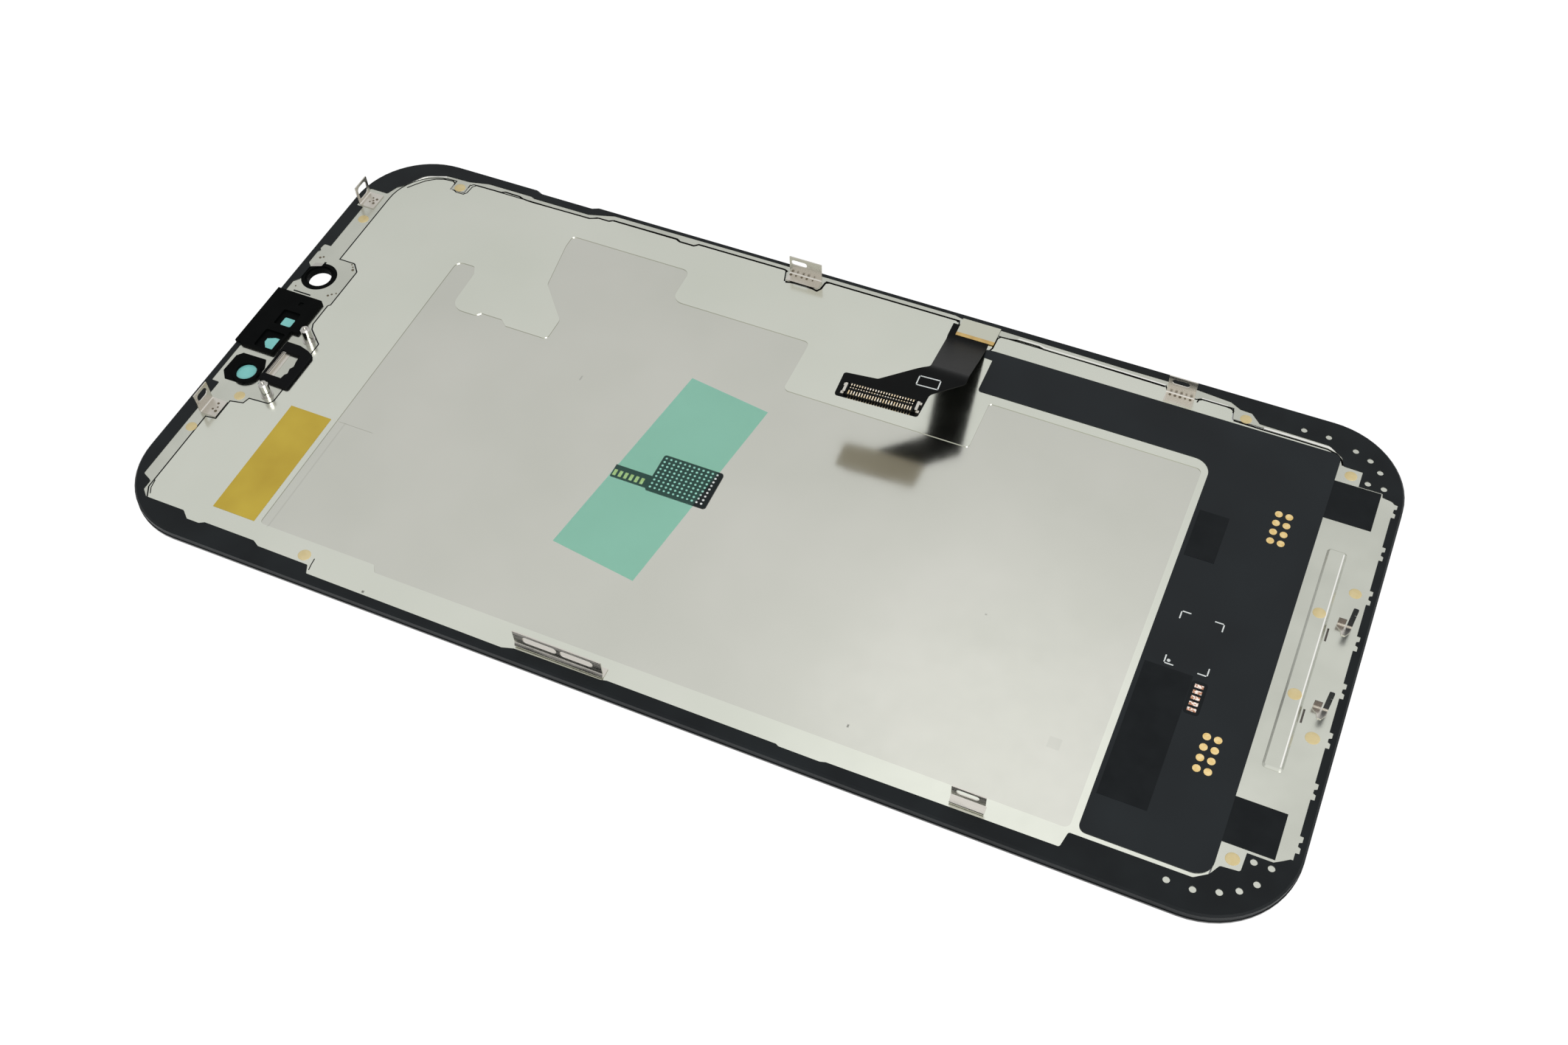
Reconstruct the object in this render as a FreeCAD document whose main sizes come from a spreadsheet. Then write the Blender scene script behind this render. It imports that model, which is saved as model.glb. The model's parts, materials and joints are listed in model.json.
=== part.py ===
import FreeCAD, Part
import math
import os
import Sketcher

# A phone screen assembly, lying glass down with its metal back up.
# X runs along the glass from the camera notch to the driver end, Y across it, Z up.
# The origin is the middle of the glass's lower face. All sizes are in millimetres.
driving_sizes = {
    "cover_length": "158.2",
    "cover_width": "75.5",
    "cover_thickness": "0.6",
    "cover_corner": "11.5",
    "cover_edge_round": "0.35",
    "adhesive_thickness": "0.08",
    "front_polariser_thickness": "0.1",
    "filter_glass_thickness": "0.15",
    "panel_glass_thickness": "0.15",
    "rear_polariser_thickness": "0.08",
    "brightness_film_thickness": "0.05",
    "diffuser_film_thickness": "0.05",
    "light_guide_thickness": "0.15",
    "reflector_thickness": "0.04",
    "stack_corner": "8",
    "stack_clearance": "0.3",
    "frame_inset": "0.1",
    "frame_chamfer": "0.25",
    "rim_height": "0.1",
    "flange_inset": "0.45",
    "recess_depth": "0.1",
    "plate_sheet": "0.15",
    "seam_width": "0.2",
    "end_rib_height": "0.3",
    "pin_hole_radius": "0.42",
    "film_thickness": "0.1",
    "label_thickness": "0.03",
    "corner_tape_thickness": "0.06",
    "pad_thickness": "0.02",
    "pad_radius": "0.5",
    "pad_pitch": "1.5",
    "clip_sheet": "0.15",
    "clip_bend": "0.2",
    "clip_height": "3.3",
    "loop_rim": "0.45",
    "hook_height": "4",
    "camera_ring_radius": "2.6",
    "camera_bore_radius": "1.75",
    "ring_clearance": "0.05",
    "bracket_height": "0.5",
    "window_thickness": "0.1",
    "window_clearance": "0.05",
    "window_seat": "0.15",
    "infrared_radius": "1.95",
    "infrared_window_radius": "1.45",
    "gasket_height": "0.5",
    "post_radius": "0.7",
    "post_height": "2.4",
    "flex_thickness": "0.12",
    "flex_lift": "7.3",
    "panel_flex_thickness": "0.06",
    "connector_height": "0.7",
    "contact_width": "0.2",
    "contact_pitch": "0.37",
    "tape_thickness": "0.06",
    "board_thickness": "0.12",
    "dot_radius": "0.17",
    "dot_pitch": "0.67",
    "print_height": "0.02",
    "glue_radius": "1.1",
    "glue_height": "0.2",
    "chip_thickness": "0.2",
}

# The outlines below were drawn for a cover of this half length and half width.
drawn_half_length = 79.1
drawn_half_width = 37.75
middle_reach_along = 60.0
middle_reach_across = 30.0
hair = 0.0001

document = FreeCAD.newDocument("phone_screen")
sheet = document.addObject("Spreadsheet::Sheet", "sizes")
for row, (alias, text) in enumerate(driving_sizes.items(), start=1):
    sheet.set("A%d" % row, text)
    sheet.setAlias("A%d" % row, alias)
document.recompute()


class Size:
    # A length that knows its value now and the expression that keeps it up to date.
    def __init__(self, value, text):
        self.value = value
        self.text = text

    def __add__(self, other):
        other = as_size(other)
        return Size(self.value + other.value, "(%s + %s)" % (self.text, other.text))

    def __radd__(self, other):
        return as_size(other) + self

    def __sub__(self, other):
        other = as_size(other)
        return Size(self.value - other.value, "(%s - %s)" % (self.text, other.text))

    def __rsub__(self, other):
        return as_size(other) - self

    def __mul__(self, factor):
        return Size(self.value * factor, "(%s * %.6g)" % (self.text, factor))

    def __neg__(self):
        return Size(-self.value, "(0 - %s)" % self.text)


def as_size(number):
    if isinstance(number, Size):
        return number
    return Size(float(number), "%.6g" % number)


def named(alias):
    return Size(float(sheet.get(alias)), "sizes." + alias)


half_length = named("cover_length") * 0.5
half_width = named("cover_width") * 0.5


def tied(place, half, drawn_half, reach):
    # Near an end a place keeps its distance from that end; the middle stretches evenly.
    if abs(place) <= reach:
        return (half - (drawn_half - reach)) * (place / reach)
    from_end = drawn_half - abs(place)
    return half - from_end if place > 0 else from_end - half


def along(place):
    return tied(place, half_length, drawn_half_length, middle_reach_along)


def across(place):
    return tied(place, half_width, drawn_half_width, middle_reach_across)


def spot(corner):
    # A corner in plan: X, Y and, where it is round, a radius.
    return (along(corner[0]), across(corner[1])) + tuple(as_size(r) for r in corner[2:])


def outline(*corners):
    return [spot(corner) for corner in corners]


def rectangle(left, near, right, far, *radius):
    return outline((left, near, *radius), (right, near, *radius), (right, far, *radius),
                   (left, far, *radius))


def centred(x, y, length, width, *radius):
    # A rectangle of its own length and width about a place in plan.
    middle = (along(x), across(y))
    half = (as_size(length) * 0.5, as_size(width) * 0.5)
    rounding = tuple(as_size(r) for r in radius)
    return [(middle[0] + half[0] * i, middle[1] + half[1] * j) + rounding
            for i, j in ((-1, -1), (1, -1), (1, 1), (-1, 1))]


def regular(centre, radius, sides, squash=(1.0,)):
    # A many-sided outline about a place; the squash factors go round it in turn.
    corners = []
    for step in range(sides):
        turn = 2 * math.pi * step / sides
        reach = radius * squash[step % len(squash)]
        corners.append((centre[0] + reach * math.cos(turn), centre[1] + reach * math.sin(turn)))
    return corners


def grown(corners, distance):
    # The same outline moved outwards by a distance, round corners included.
    points = [FreeCAD.Vector(c[0].value, c[1].value, 0) for c in corners]
    count = len(points)
    area = sum(points[i - 1].x * points[i].y - points[i].x * points[i - 1].y for i in range(count))
    turn = 1 if area > 0 else -1
    result = []
    for i, corner in enumerate(corners):
        before = (points[i] - points[i - 1]).normalize()
        after = (points[(i + 1) % count] - points[i]).normalize()
        out_before = FreeCAD.Vector(before.y, -before.x, 0) * turn
        out_after = FreeCAD.Vector(after.y, -after.x, 0) * turn
        mitre = (out_before + out_after) * (1 / (1 + out_before.dot(out_after)))
        convex = before.cross(after).z * turn > 0
        rounding = tuple(r + distance if convex else r for r in corner[2:])
        result.append((corner[0] + distance * mitre.x, corner[1] + distance * mitre.y) + rounding)
    return result


# Heights of the layers, from the glass's lower face up.
glass_back = named("cover_thickness")
adhesive_back = glass_back + named("adhesive_thickness")
front_polariser_back = adhesive_back + named("front_polariser_thickness")
filter_glass_back = front_polariser_back + named("filter_glass_thickness")
panel_glass_back = filter_glass_back + named("panel_glass_thickness")
rear_polariser_back = panel_glass_back + named("rear_polariser_thickness")
brightness_back = rear_polariser_back + named("brightness_film_thickness")
diffuser_back = brightness_back + named("diffuser_film_thickness")
guide_back = diffuser_back + named("light_guide_thickness")
reflector_back = guide_back + named("reflector_thickness")
recess_floor = reflector_back + named("plate_sheet")
ledge = reflector_back + named("recess_depth")
margin = ledge + named("plate_sheet")
frame_top = margin + named("rim_height")
film_top = margin + named("film_thickness")
flex_top = margin + named("flex_thickness")
board_top = recess_floor + named("board_thickness")
roof = board_top + named("print_height")

# The visible edge of the black rim, as openings that run into each other.
rim_openings = {
    "rim_middle": rectangle(-76.8, -27.0, 77.75, 27.0),
    "rim_notch_end": outline(
        (-75.0, -13.4), (-78.0, -13.4, 0.3), (-78.0, 7.2), (-77.3, 8.0), (-77.3, 10.8), (-78.0, 11.4),
        (-78.0, 13.8), (-77.7, 14.2), (-78.0, 14.6), (-77.9, 15.5, 0.3),
        (-75.0, 15.5)),
    "rim_far_left": outline(
        (-76.8, 24.4), (-77.9, 24.4), (-77.9, 28.4, 0.3), (-74.9, 28.4, 0.3), (-74.2, 30.1, 0.3),
        (-73.6, 30.6, 0.3), (-71.4, 34.0, 2.5), (-68.2, 35.2, 1), (-64.4, 35.3), (-61.4, 36.0),
        (-54.0, 36.0), (-53.4, 35.75), (-44.1, 35.75), (-40.2, 36.9, 1), (-20.0, 37.0), (-20.0, 24.0)),
    "rim_far_right": outline(
        (-21.0, 26.0), (-21.0, 37.0), (14.0, 37.0), (15.0, 36.75), (40.0, 36.3), (49.4, 36.3), (54.0, 35.9),
        (55.5, 35.1), (57.1, 35.0), (58.5, 33.6), (67.9, 33.4, 0.6), (69.9, 32.0, 0.6), (70.3, 30.7, 0.3),
        (72.9, 30.6), (72.9, 28.1), (76.0, 28.1), (76.1, 27.5), (77.75, 27.2, 0.6), (77.75, 26.0)),
    "rim_near_right": outline(
        (77.75, -26.0), (77.75, -26.8), (76.6, -27.6, 0.3), (75.8, -28.1), (72.8, -28.1),
        (72.7, -30.6, 0.3), (70.4, -30.8, 0.4), (69.6, -32.2, 0.5), (68.0, -33.3, 0.5),
        (53.6, -33.4, 0.3), (53.2, -35.5, 0.3), (24.7, -35.8), (24.0, -36.0), (18.7, -36.0),
        (18.3, -35.8), (0.0, -35.8), (0.0, -26.0)),
    "rim_near_left": outline(
        (1.0, -26.0), (1.0, -35.8), (-4.2, -35.8), (-5.0, -36.0), (-17.0, -36.1), (-18.5, -36.55),
        (-47.3, -36.4), (-47.9, -35.2), (-55.5, -35.15), (-56.5, -34.6), (-64.2, -34.6), (-64.9, -35.0),
        (-66.8, -35.0), (-68.0, -34.0, 0.3), (-74.1, -34.0, 0.4), (-75.2, -33.0, 0.3),
        (-75.2, -31.5, 0.3), (-76.8, -30.8, 0.4), (-76.8, -26.0)),
}

# The back plate, as sheets that run into each other. Its near edge goes out of sight under the rim.
plate_sheets = {
    "plate_middle": outline(
        (-66.4, -34.4), (54.4, -34.4), (54.4, -34.0), (69.5, -34.0, 1.5), (69.5, 32.9, 1.5), (-66.4, 32.9)),
    "plate_near_edge": outline(
        (-68.9, -33.0), (-68.9, -34.4), (-68.4, -35.5, 0.5), (-48.4, -35.5), (-47.6, -36.75, 0.5),
        (53.9, -36.75, 0.5), (54.4, -33.0)),
    "plate_far_edge": outline(
        (-63.8, 31.0), (-63.8, 33.2), (-63.6, 34.9, 0.4), (-43.5, 34.9), (-42.5, 35.5), (-40.4, 35.5),
        (-40.0, 35.8), (-29.5, 35.8), (-28.8, 35.5), (-26.5, 35.5), (-26.0, 36.0), (-11.9, 36.05),
        (-11.3, 34.0, 0.4), (-11.3, 31.0)),
    "plate_far_edge_right": outline(
        (-12.0, 31.0), (-12.0, 34.0), (-5.8, 34.0, 0.4), (-5.4, 36.1), (14.8, 36.1), (15.0, 35.4),
        (45.0, 35.3), (45.5, 34.4), (49.6, 34.5), (50.1, 34.8), (54.5, 34.8), (55.0, 32.0)),
    "plate_notch_end": outline(
        (-60.0, 34.6), (-73.9, 34.6, 7), (-73.9, 13.7), (-71.4, 13.7, 0.5), (-70.1, 12.3, 0.4),
        (-70.1, 5.1), (-70.4, 4.8), (-70.4, 1.0), (-70.0, 0.1, 0.4), (-67.5, -2.0, 0.4), (-67.5, -4.0),
        (-66.9, -4.6), (-66.9, -10.8), (-67.5, -11.0), (-67.5, -13.4), (-68.0, -14.2), (-71.0, -14.4),
        (-71.3, -15.4), (-73.2, -15.8), (-73.2, -19.2), (-74.75, -19.4), (-74.7, -32.4, 0.4),
        (-73.6, -34.4), (-60.0, -34.4)),
}
plate_bite = outline((-66.4, 40.0), (-66.4, 32.7), (-63.8, 32.7), (-63.8, 40.0))

# The pressed recess in the back plate.
recess_outline = outline(
    (-57.5, 19.8, 1.2), (-54.6, 19.8, 0.6), (-53.9, 18.4), (-53.8, 11.3, 2), (-49.6, 11.3, 1),
    (-49.0, 12.0, 0.3), (-45.7, 12.0, 0.3), (-44.6, 11.1, 0.4), (-37.9, 11.1, 0.8), (-37.9, 15.0, 1),
    (-42.9, 20.6, 1), (-44.1, 28.5, 1), (-44.1, 30.8, 0.7), (-24.75, 30.8, 1.2), (-24.75, 24.55, 1.6),
    (-3.1, 24.5, 0.9), (-3.1, 15.1, 0.8), (23.9, 15.1, 0.5), (23.9, 23.4, 0.5), (53.5, 23.2, 0.8),
    (53.5, -32.9, 0.8), (-39.2, -32.9, 0.4), (-39.9, -31.85, 0.4), (-57.5, -31.85, 0.6))

# The display stack, with its notch; films stop short of the driver end.
notch_near, notch_far, notch_depth = -15.5, 14.5, -66.8
film_end, filter_end, panel_end, panel_corner = 70.0, 72.5, 75.5, 3.0


def stack_outline(end, end_corner):
    corner = named("stack_corner")
    return [
        (along(-72.3), across(-34.3), corner), (along(end), across(-34.3), end_corner),
        (along(end), across(34.3), end_corner), (along(-72.3), across(34.3), corner),
        spot((-72.3, notch_far)), spot((notch_depth, notch_far)),
        spot((notch_depth, notch_near)), spot((-72.3, notch_near))]


def rounded_corner(before, corner, after, radius):
    # Where the arc of a rounded corner starts and ends, its centre, and which way it turns.
    to_before = (before - corner).normalize()
    to_after = (after - corner).normalize()
    half_angle = to_before.getAngle(to_after) / 2
    reach = radius / math.tan(half_angle)
    centre = corner + (to_before + to_after).normalize() * (radius / math.sin(half_angle))
    return corner + to_before * reach, corner + to_after * reach, centre, to_before.cross(to_after).z < 0


class Drawing:
    # A sketch whose every number follows the sheet.
    def __init__(self, sketch):
        self.sketch = sketch
        self.constraints = []
        self.bound = []

    def hold(self, constraint, size):
        self.bound.append((len(self.constraints), size))
        self.constraints.append(constraint)

    def place(self, index, point, corner):
        self.hold(Sketcher.Constraint("DistanceX", -1, 1, index, point, corner[0].value), corner[0])
        self.hold(Sketcher.Constraint("DistanceY", -1, 1, index, point, corner[1].value), corner[1])

    def add_outline(self, corners):
        points = [FreeCAD.Vector(c[0].value, c[1].value, 0) for c in corners]
        count = len(points)
        arcs = [rounded_corner(points[i - 1], points[i], points[(i + 1) % count], corners[i][2].value)
                if len(corners[i]) == 3 else None for i in range(count)]
        first_line = self.sketch.GeometryCount
        for i in range(count):
            after = (i + 1) % count
            start = arcs[i][1] if arcs[i] else points[i]
            end = arcs[after][0] if arcs[after] else points[after]
            self.sketch.addGeometry(Part.LineSegment(start, end), False)
        for i, corner in enumerate(corners):
            before = first_line + (i - 1) % count
            after = first_line + i
            if arcs[i]:
                self.add_corner_arc(before, after, points[i], corner, arcs[i])
            else:
                self.constraints.append(Sketcher.Constraint("Coincident", before, 2, after, 1))
                self.place(after, 1, corner)

    def add_corner_arc(self, before, after, point, corner, arc):
        start, end, centre, convex = arc
        radius = corner[2].value
        angles = [math.atan2(p.y - centre.y, p.x - centre.x) for p in (start, end)]
        if not convex:
            angles.reverse()
        circle = Part.Circle(centre, FreeCAD.Vector(0, 0, 1), radius)
        curve = self.sketch.addGeometry(Part.ArcOfCircle(circle, angles[0], angles[1]), False)
        apex = self.sketch.addGeometry(Part.Point(point), True)
        first, last = (1, 2) if convex else (2, 1)
        self.constraints.append(Sketcher.Constraint("Tangent", before, 2, curve, first))
        self.constraints.append(Sketcher.Constraint("Tangent", curve, last, after, 1))
        self.hold(Sketcher.Constraint("Radius", curve, radius), corner[2])
        self.place(apex, 1, corner)
        self.constraints.append(Sketcher.Constraint("PointOnObject", apex, 1, before))
        self.constraints.append(Sketcher.Constraint("PointOnObject", apex, 1, after))

    def add_circle(self, centre, radius):
        middle = FreeCAD.Vector(centre[0].value, centre[1].value, 0)
        circle = Part.Circle(middle, FreeCAD.Vector(0, 0, 1), radius.value)
        index = self.sketch.addGeometry(circle, False)
        self.hold(Sketcher.Constraint("Radius", index, radius.value), radius)
        self.place(index, 3, centre)

    def finish(self):
        self.sketch.addConstraint(self.constraints)
        for index, size in self.bound:
            self.sketch.setExpression("Constraints[%d]" % index, size.text)


def new_body(label):
    body = document.addObject("PartDesign::Body", label)
    body.Label = label
    body.AllowCompound = True
    return body


def sketch_on(body, name, plane, level, outlines, circles=()):
    sketch = body.newObject("Sketcher::SketchObject", name)
    role = plane + "_Plane"
    origin_plane = [f for f in body.Origin.OriginFeatures if f.Role == role][0]
    sketch.AttachmentSupport = (origin_plane, [""])
    sketch.MapMode = "FlatFace"
    sketch.setExpression("AttachmentOffset.Base.z", level.text)
    drawing = Drawing(sketch)
    for corners in outlines:
        drawing.add_outline(corners)
    for centre, radius in circles:
        drawing.add_circle(centre, radius)
    drawing.finish()
    return sketch


def pad(body, name, outlines, bottom, thickness, circles=(), plane="XY"):
    sketch = sketch_on(body, name + "_outline", plane, bottom, outlines, circles)
    feature = body.newObject("PartDesign::Pad", name)
    feature.Profile = sketch
    feature.setExpression("Length", thickness.text)
    return feature


def cut(body, name, outlines, top, depth, circles=(), plane="XY"):
    # In plan a cut goes down from its top; upright ones go towards +Y or -X.
    document.recompute()
    volume_before = body.Shape.Volume
    sketch = sketch_on(body, name + "_outline", plane, top, outlines, circles)
    feature = body.newObject("PartDesign::Pocket", name)
    feature.Profile = sketch
    feature.setExpression("Length", depth.text)
    document.recompute()
    if volume_before - body.Shape.Volume < hair:
        raise RuntimeError(name + " cuts nothing")
    return feature


def pattern(body, name, seed, direction, length, count, reverse=False):
    # A row of copies of one feature, from the first to the last over the given length.
    document.recompute()
    feature = body.newObject("PartDesign::LinearPattern", name)
    feature.Originals = [seed]
    axis = [f for f in body.Origin.OriginFeatures if f.Role == direction + "_Axis"][0]
    feature.Direction = (axis, [""])
    feature.Reversed = reverse
    feature.setExpression("Length", length.text)
    feature.Occurrences = count
    body.Tip = feature
    return feature


def pattern_grid(body, name, seed, length, columns, depth, rows):
    # A grid of one small form: columns along X, each repeated in rows along Y.
    document.recompute()
    grid = body.newObject("PartDesign::MultiTransform", name)
    steps = []
    for direction, size, count in (("X", length, columns), ("Y", depth, rows)):
        step = body.newObject("PartDesign::LinearPattern", name + "_" + direction.lower())
        axis = [f for f in body.Origin.OriginFeatures if f.Role == direction + "_Axis"][0]
        step.Direction = (axis, [""])
        step.setExpression("Length", size.text)
        step.Occurrences = count
        steps.append(step)
    grid.Originals = [seed]
    grid.Transformations = steps
    body.Tip = grid
    return grid


def edges_of(body, test):
    return ["Edge%d" % number for number, edge in enumerate(body.Shape.Edges, start=1) if test(edge)]


def soften(body, kind, name, size, test):
    # A fillet or a chamfer on the edges that pass the test.
    document.recompute()
    base = body.Tip
    edges = edges_of(body, test)
    feature = body.newObject("PartDesign::" + kind, name)
    feature.Base = (base, edges)
    feature.setExpression("Radius" if kind == "Fillet" else "Size", size.text)
    document.recompute()
    return feature


def at_height(level):
    return lambda edge: abs(edge.BoundBox.ZMin - level.value) < hair and edge.BoundBox.ZLength < hair


def layer(label, corners, bottom, thickness_name):
    body = new_body(label)
    pad(body, label + "_pad", [corners], bottom, named(thickness_name))
    return body


def build_cover_glass():
    body = new_body("cover_glass")
    corner = named("cover_corner")
    corners = [(half_length * i, half_width * j, corner) for i, j in ((-1, -1), (1, -1), (1, 1), (-1, 1))]
    pad(body, "cover_pad", [corners], as_size(0), glass_back)
    soften(body, "Fillet", "cover_edge", named("cover_edge_round"), at_height(as_size(0)))


def build_display_stack():
    corner = named("stack_corner")
    short = as_size(panel_corner)
    filter_corners = stack_outline(filter_end, short)
    film_corners = stack_outline(film_end, short)
    layer("optical_adhesive", filter_corners, glass_back, "adhesive_thickness")
    layer("front_polariser", filter_corners, adhesive_back, "front_polariser_thickness")
    layer("colour_filter_glass", filter_corners, front_polariser_back, "filter_glass_thickness")
    layer("panel_glass", stack_outline(panel_end, short), filter_glass_back, "panel_glass_thickness")
    layer("rear_polariser", film_corners, panel_glass_back, "rear_polariser_thickness")
    layer("brightness_film", film_corners, rear_polariser_back, "brightness_film_thickness")
    layer("diffuser_film", film_corners, brightness_back, "diffuser_film_thickness")
    layer("light_guide", film_corners, diffuser_back, "light_guide_thickness")
    layer("reflector_film", film_corners, guide_back, "reflector_thickness")


# Places in the notch, shared by the frame, the insert and what sits on them.
camera_place = (along(-74.9), across(9.4))
infrared_place = (along(-74.0), across(-10.5))
window_places = [centred(-74.0, -0.2, 1.7, 1.5, 0.2),
                 outline((-75.0, -4.6), (-74.3, -5.5), (-73.2, -5.5), (-73.2, -3.4), (-73.9, -3.4),
                         (-75.0, -3.9))]
window_holes = [grown(corners, -named("window_seat")) for corners in window_places]
far_pin_holes = [(64.2, 34.7), (67.5, 34.7), (71.3, 33.7), (73.4, 32.8), (75.0, 31.3), (73.9, 28.9),
                 (76.0, 28.8)]
near_pin_holes = [(65.4, -34.7), (68.4, -34.7), (71.2, -33.9), (73.2, -32.9), (74.8, -31.4), (73.8, -28.9),
                  (75.8, -28.9)]
driver_half_width = 12.0


def frame_corners(inset):
    # The outer edge of the moulded frame, with the shallow dip in its far side.
    corner = named("cover_corner") - inset
    left, right = inset - half_length, half_length - inset
    near, far = inset - half_width, half_width - inset
    return [(left, near, corner), (right, near, corner), (right, far, corner),
            (along(-43.2), far), (along(-44.2), far - 0.45), (along(-52.8), far - 0.45),
            (along(-53.8), far), (left, far, corner)]


def build_bezel_frame():
    body = new_body("bezel_frame")
    pad(body, "frame_pad", [frame_corners(named("frame_inset"))], glass_back, frame_top - glass_back)
    soften(body, "Chamfer", "frame_edge", named("frame_chamfer"), at_height(frame_top))
    for name, corners in rim_openings.items():
        cut(body, name, [corners], frame_top, named("rim_height"))
    first_tab = outline((77.5, 26.95), (78.2, 26.9), (78.2, 26.1), (77.85, 25.95), (77.85, 25.55),
                        (78.2, 25.4), (78.2, 24.6), (77.5, 24.55))
    seed = cut(body, "rim_tab", [first_tab], frame_top, named("rim_height"))
    tab_run = across(25.75) - across(-24.85)
    pattern(body, "rim_tabs", seed, "Y", tab_run, 8, reverse=True)
    cut(body, "flange_groove", [frame_corners(named("flange_inset"))], margin, margin - ledge)
    opening = grown(stack_outline(panel_end, as_size(panel_corner)), named("stack_clearance"))
    cut(body, "stack_opening", [opening], ledge, ledge - glass_back)
    bend_room = rectangle(74.0, -driver_half_width - 1, 76.6, driver_half_width + 1, 0.4)
    cut(body, "flex_room", [bend_room], ledge, ledge - glass_back)
    cut(body, "camera_seat", [], ledge, ledge - glass_back,
        [(camera_place, named("camera_ring_radius") + named("ring_clearance"))])
    cut(body, "sensor_ways", window_holes, ledge, ledge - glass_back,
        [(infrared_place, named("infrared_window_radius") - named("window_seat"))])
    cut(body, "pin_holes", [], frame_top, named("rim_height"),
        [((along(x), across(y)), named("pin_hole_radius")) for x, y in far_pin_holes + near_pin_holes])


def build_frame_insert():
    body = new_body("frame_insert")
    sheet_gauge = margin - ledge
    pad(body, "insert_sheet", [frame_corners(named("flange_inset"))], ledge, sheet_gauge)
    for name, corners in plate_sheets.items():
        cut(body, name + "_room", [grown(corners, named("seam_width"))], margin, sheet_gauge)
    pad(body, "insert_bridge", [rectangle(-66.2, 32.9, -64.0, 36.0, 0.1)], ledge, sheet_gauge)
    rib = rectangle(71.5, -16.7, 74.0, 16.9, 0.5)
    rise = named("end_rib_height")
    pad(body, "end_rib", [rib], ledge, sheet_gauge + rise)
    cut(body, "end_rib_hollow", [grown(rib, -rise)], ledge + rise, rise)
    cut(body, "camera_hole", [], margin, sheet_gauge,
        [(camera_place, named("camera_ring_radius") + named("ring_clearance"))])
    cut(body, "sensor_holes", window_holes, margin, sheet_gauge,
        [(infrared_place, named("infrared_window_radius") - named("window_seat"))])
    slit_reach = 1.0
    slits = [rectangle(74.2, y - slit_reach, 74.45, y + slit_reach) for y in (4.0, -8.3)]
    cut(body, "end_slits", slits, margin, sheet_gauge)
    camera_cuts = [rectangle(-75.75, 11.7, -75.4, 12.3), rectangle(-76.9, 5.55, -74.0, 5.8)]
    cut(body, "camera_cuts", camera_cuts, margin, sheet_gauge)
    soften(body, "Chamfer", "end_rib_slope", rise * 0.9, at_height(margin + rise))


def build_backplate():
    body = new_body("backplate")
    for name, corners in plate_sheets.items():
        pad(body, name, [corners], ledge, margin - ledge)
    cut(body, "plate_bite", [plate_bite], margin, margin - ledge)
    wall_outline = grown(recess_outline, named("recess_depth"))
    pad(body, "recess_sheet", [wall_outline], reflector_back, ledge - reflector_back)
    cut(body, "recess", [recess_outline], margin, margin - recess_floor)
    groove = rectangle(-57.3, -13.2, -51.8, -13.05)
    cut(body, "groove", [groove], recess_floor, named("plate_sheet") * 0.3)


def build_camera_ring():
    body = new_body("camera_ring")
    outer = named("camera_ring_radius")
    bore = named("camera_bore_radius")
    pad(body, "ring_wall", [], glass_back, margin - glass_back, [(camera_place, outer),
                            (camera_place, bore)])
    step = (outer - bore) * 0.4
    cut(body, "ring_step", [], margin, named("plate_sheet"), [(camera_place, bore + step)])


def build_sensor_bracket():
    body = new_body("sensor_bracket")
    top = margin + named("bracket_height")
    block = outline((-78.0, -6.3, 0.3), (-72.4, -6.3, 0.3), (-72.4, -1.7, 0.2), (-71.3, -1.7, 0.2),
                    (-71.3, 5.0, 0.3), (-78.0, 5.0, 0.3))
    pad(body, "bracket_block", [block], margin, named("bracket_height"))
    lip = rectangle(-78.9, -6.1, -77.9, 5.0)
    pad(body, "bracket_lip", [lip], frame_top, top - frame_top)
    recess = named("bracket_height") * 0.6
    wells = [rectangle(-75.6, -1.3, -72.8, 1.6, 0.3), rectangle(-75.9, -5.9, -72.7, -2.6, 0.3)]
    cut(body, "bracket_wells", wells, top, recess)
    fit = named("window_clearance")
    cut(body, "window_ways", [grown(corners, fit) for corners in window_places], top, named("bracket_height"))
    cut(body, "bracket_mark", [centred(-73.9, 3.3, 0.65, 0.65)], top, named("plate_sheet"))


def build_sensor_windows():
    body = new_body("sensor_windows")
    pad(body, "window_panes", window_places, margin, named("window_thickness"))


def build_infrared_ring():
    body = new_body("infrared_ring")
    outer = named("infrared_radius")
    window = named("infrared_window_radius") + named("window_clearance")
    skirt = outline((-77.3, -8.3), (-76.6, -7.5), (-72.9, -7.4), (-72.2, -8.8), (-72.2, -11.2),
                    (-73.2, -12.4), (-76.4, -12.5), (-77.4, -11.3))
    pad(body, "skirt", [skirt], margin, named("window_thickness"), [(infrared_place, window)])
    rings = [(infrared_place, outer), (infrared_place, window)]
    pad(body, "collar", [], margin, named("bracket_height"), rings)


def build_infrared_window():
    body = new_body("infrared_window")
    pad(body, "infrared_pane", [], margin, named("window_thickness"),
        [(infrared_place, named("infrared_window_radius"))])


def build_receiver():
    body = new_body("receiver_gasket")
    outer = outline((-71.7, -10.9), (-67.0, -11.0, 0.4), (-67.0, -4.5, 0.6), (-68.0, -4.0, 0.5),
                    (-69.5, -3.6), (-71.7, -3.6))
    opening = outline((-71.4, -9.8), (-68.7, -9.8), (-68.6, -9.1), (-68.3, -8.7), (-68.5, -7.9),
                      (-68.2, -7.3), (-68.4, -6.4), (-68.5, -5.2), (-71.4, -5.2))
    pad(body, "gasket", [outer, opening], margin, named("gasket_height"))

    strip = new_body("receiver_strip")
    sheet_gauge = named("pad_thickness") * 2
    pad(strip, "strip_sheet", [rectangle(-71.35, -9.7, -70.2, -5.3)], margin, sheet_gauge)
    ribs = [rectangle(x, -9.7, x + 0.1, -5.3) for x in (-71.35, -71.12, -70.9)]
    pad(strip, "strip_ribs", ribs, margin, named("gasket_height") * 0.7)


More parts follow.
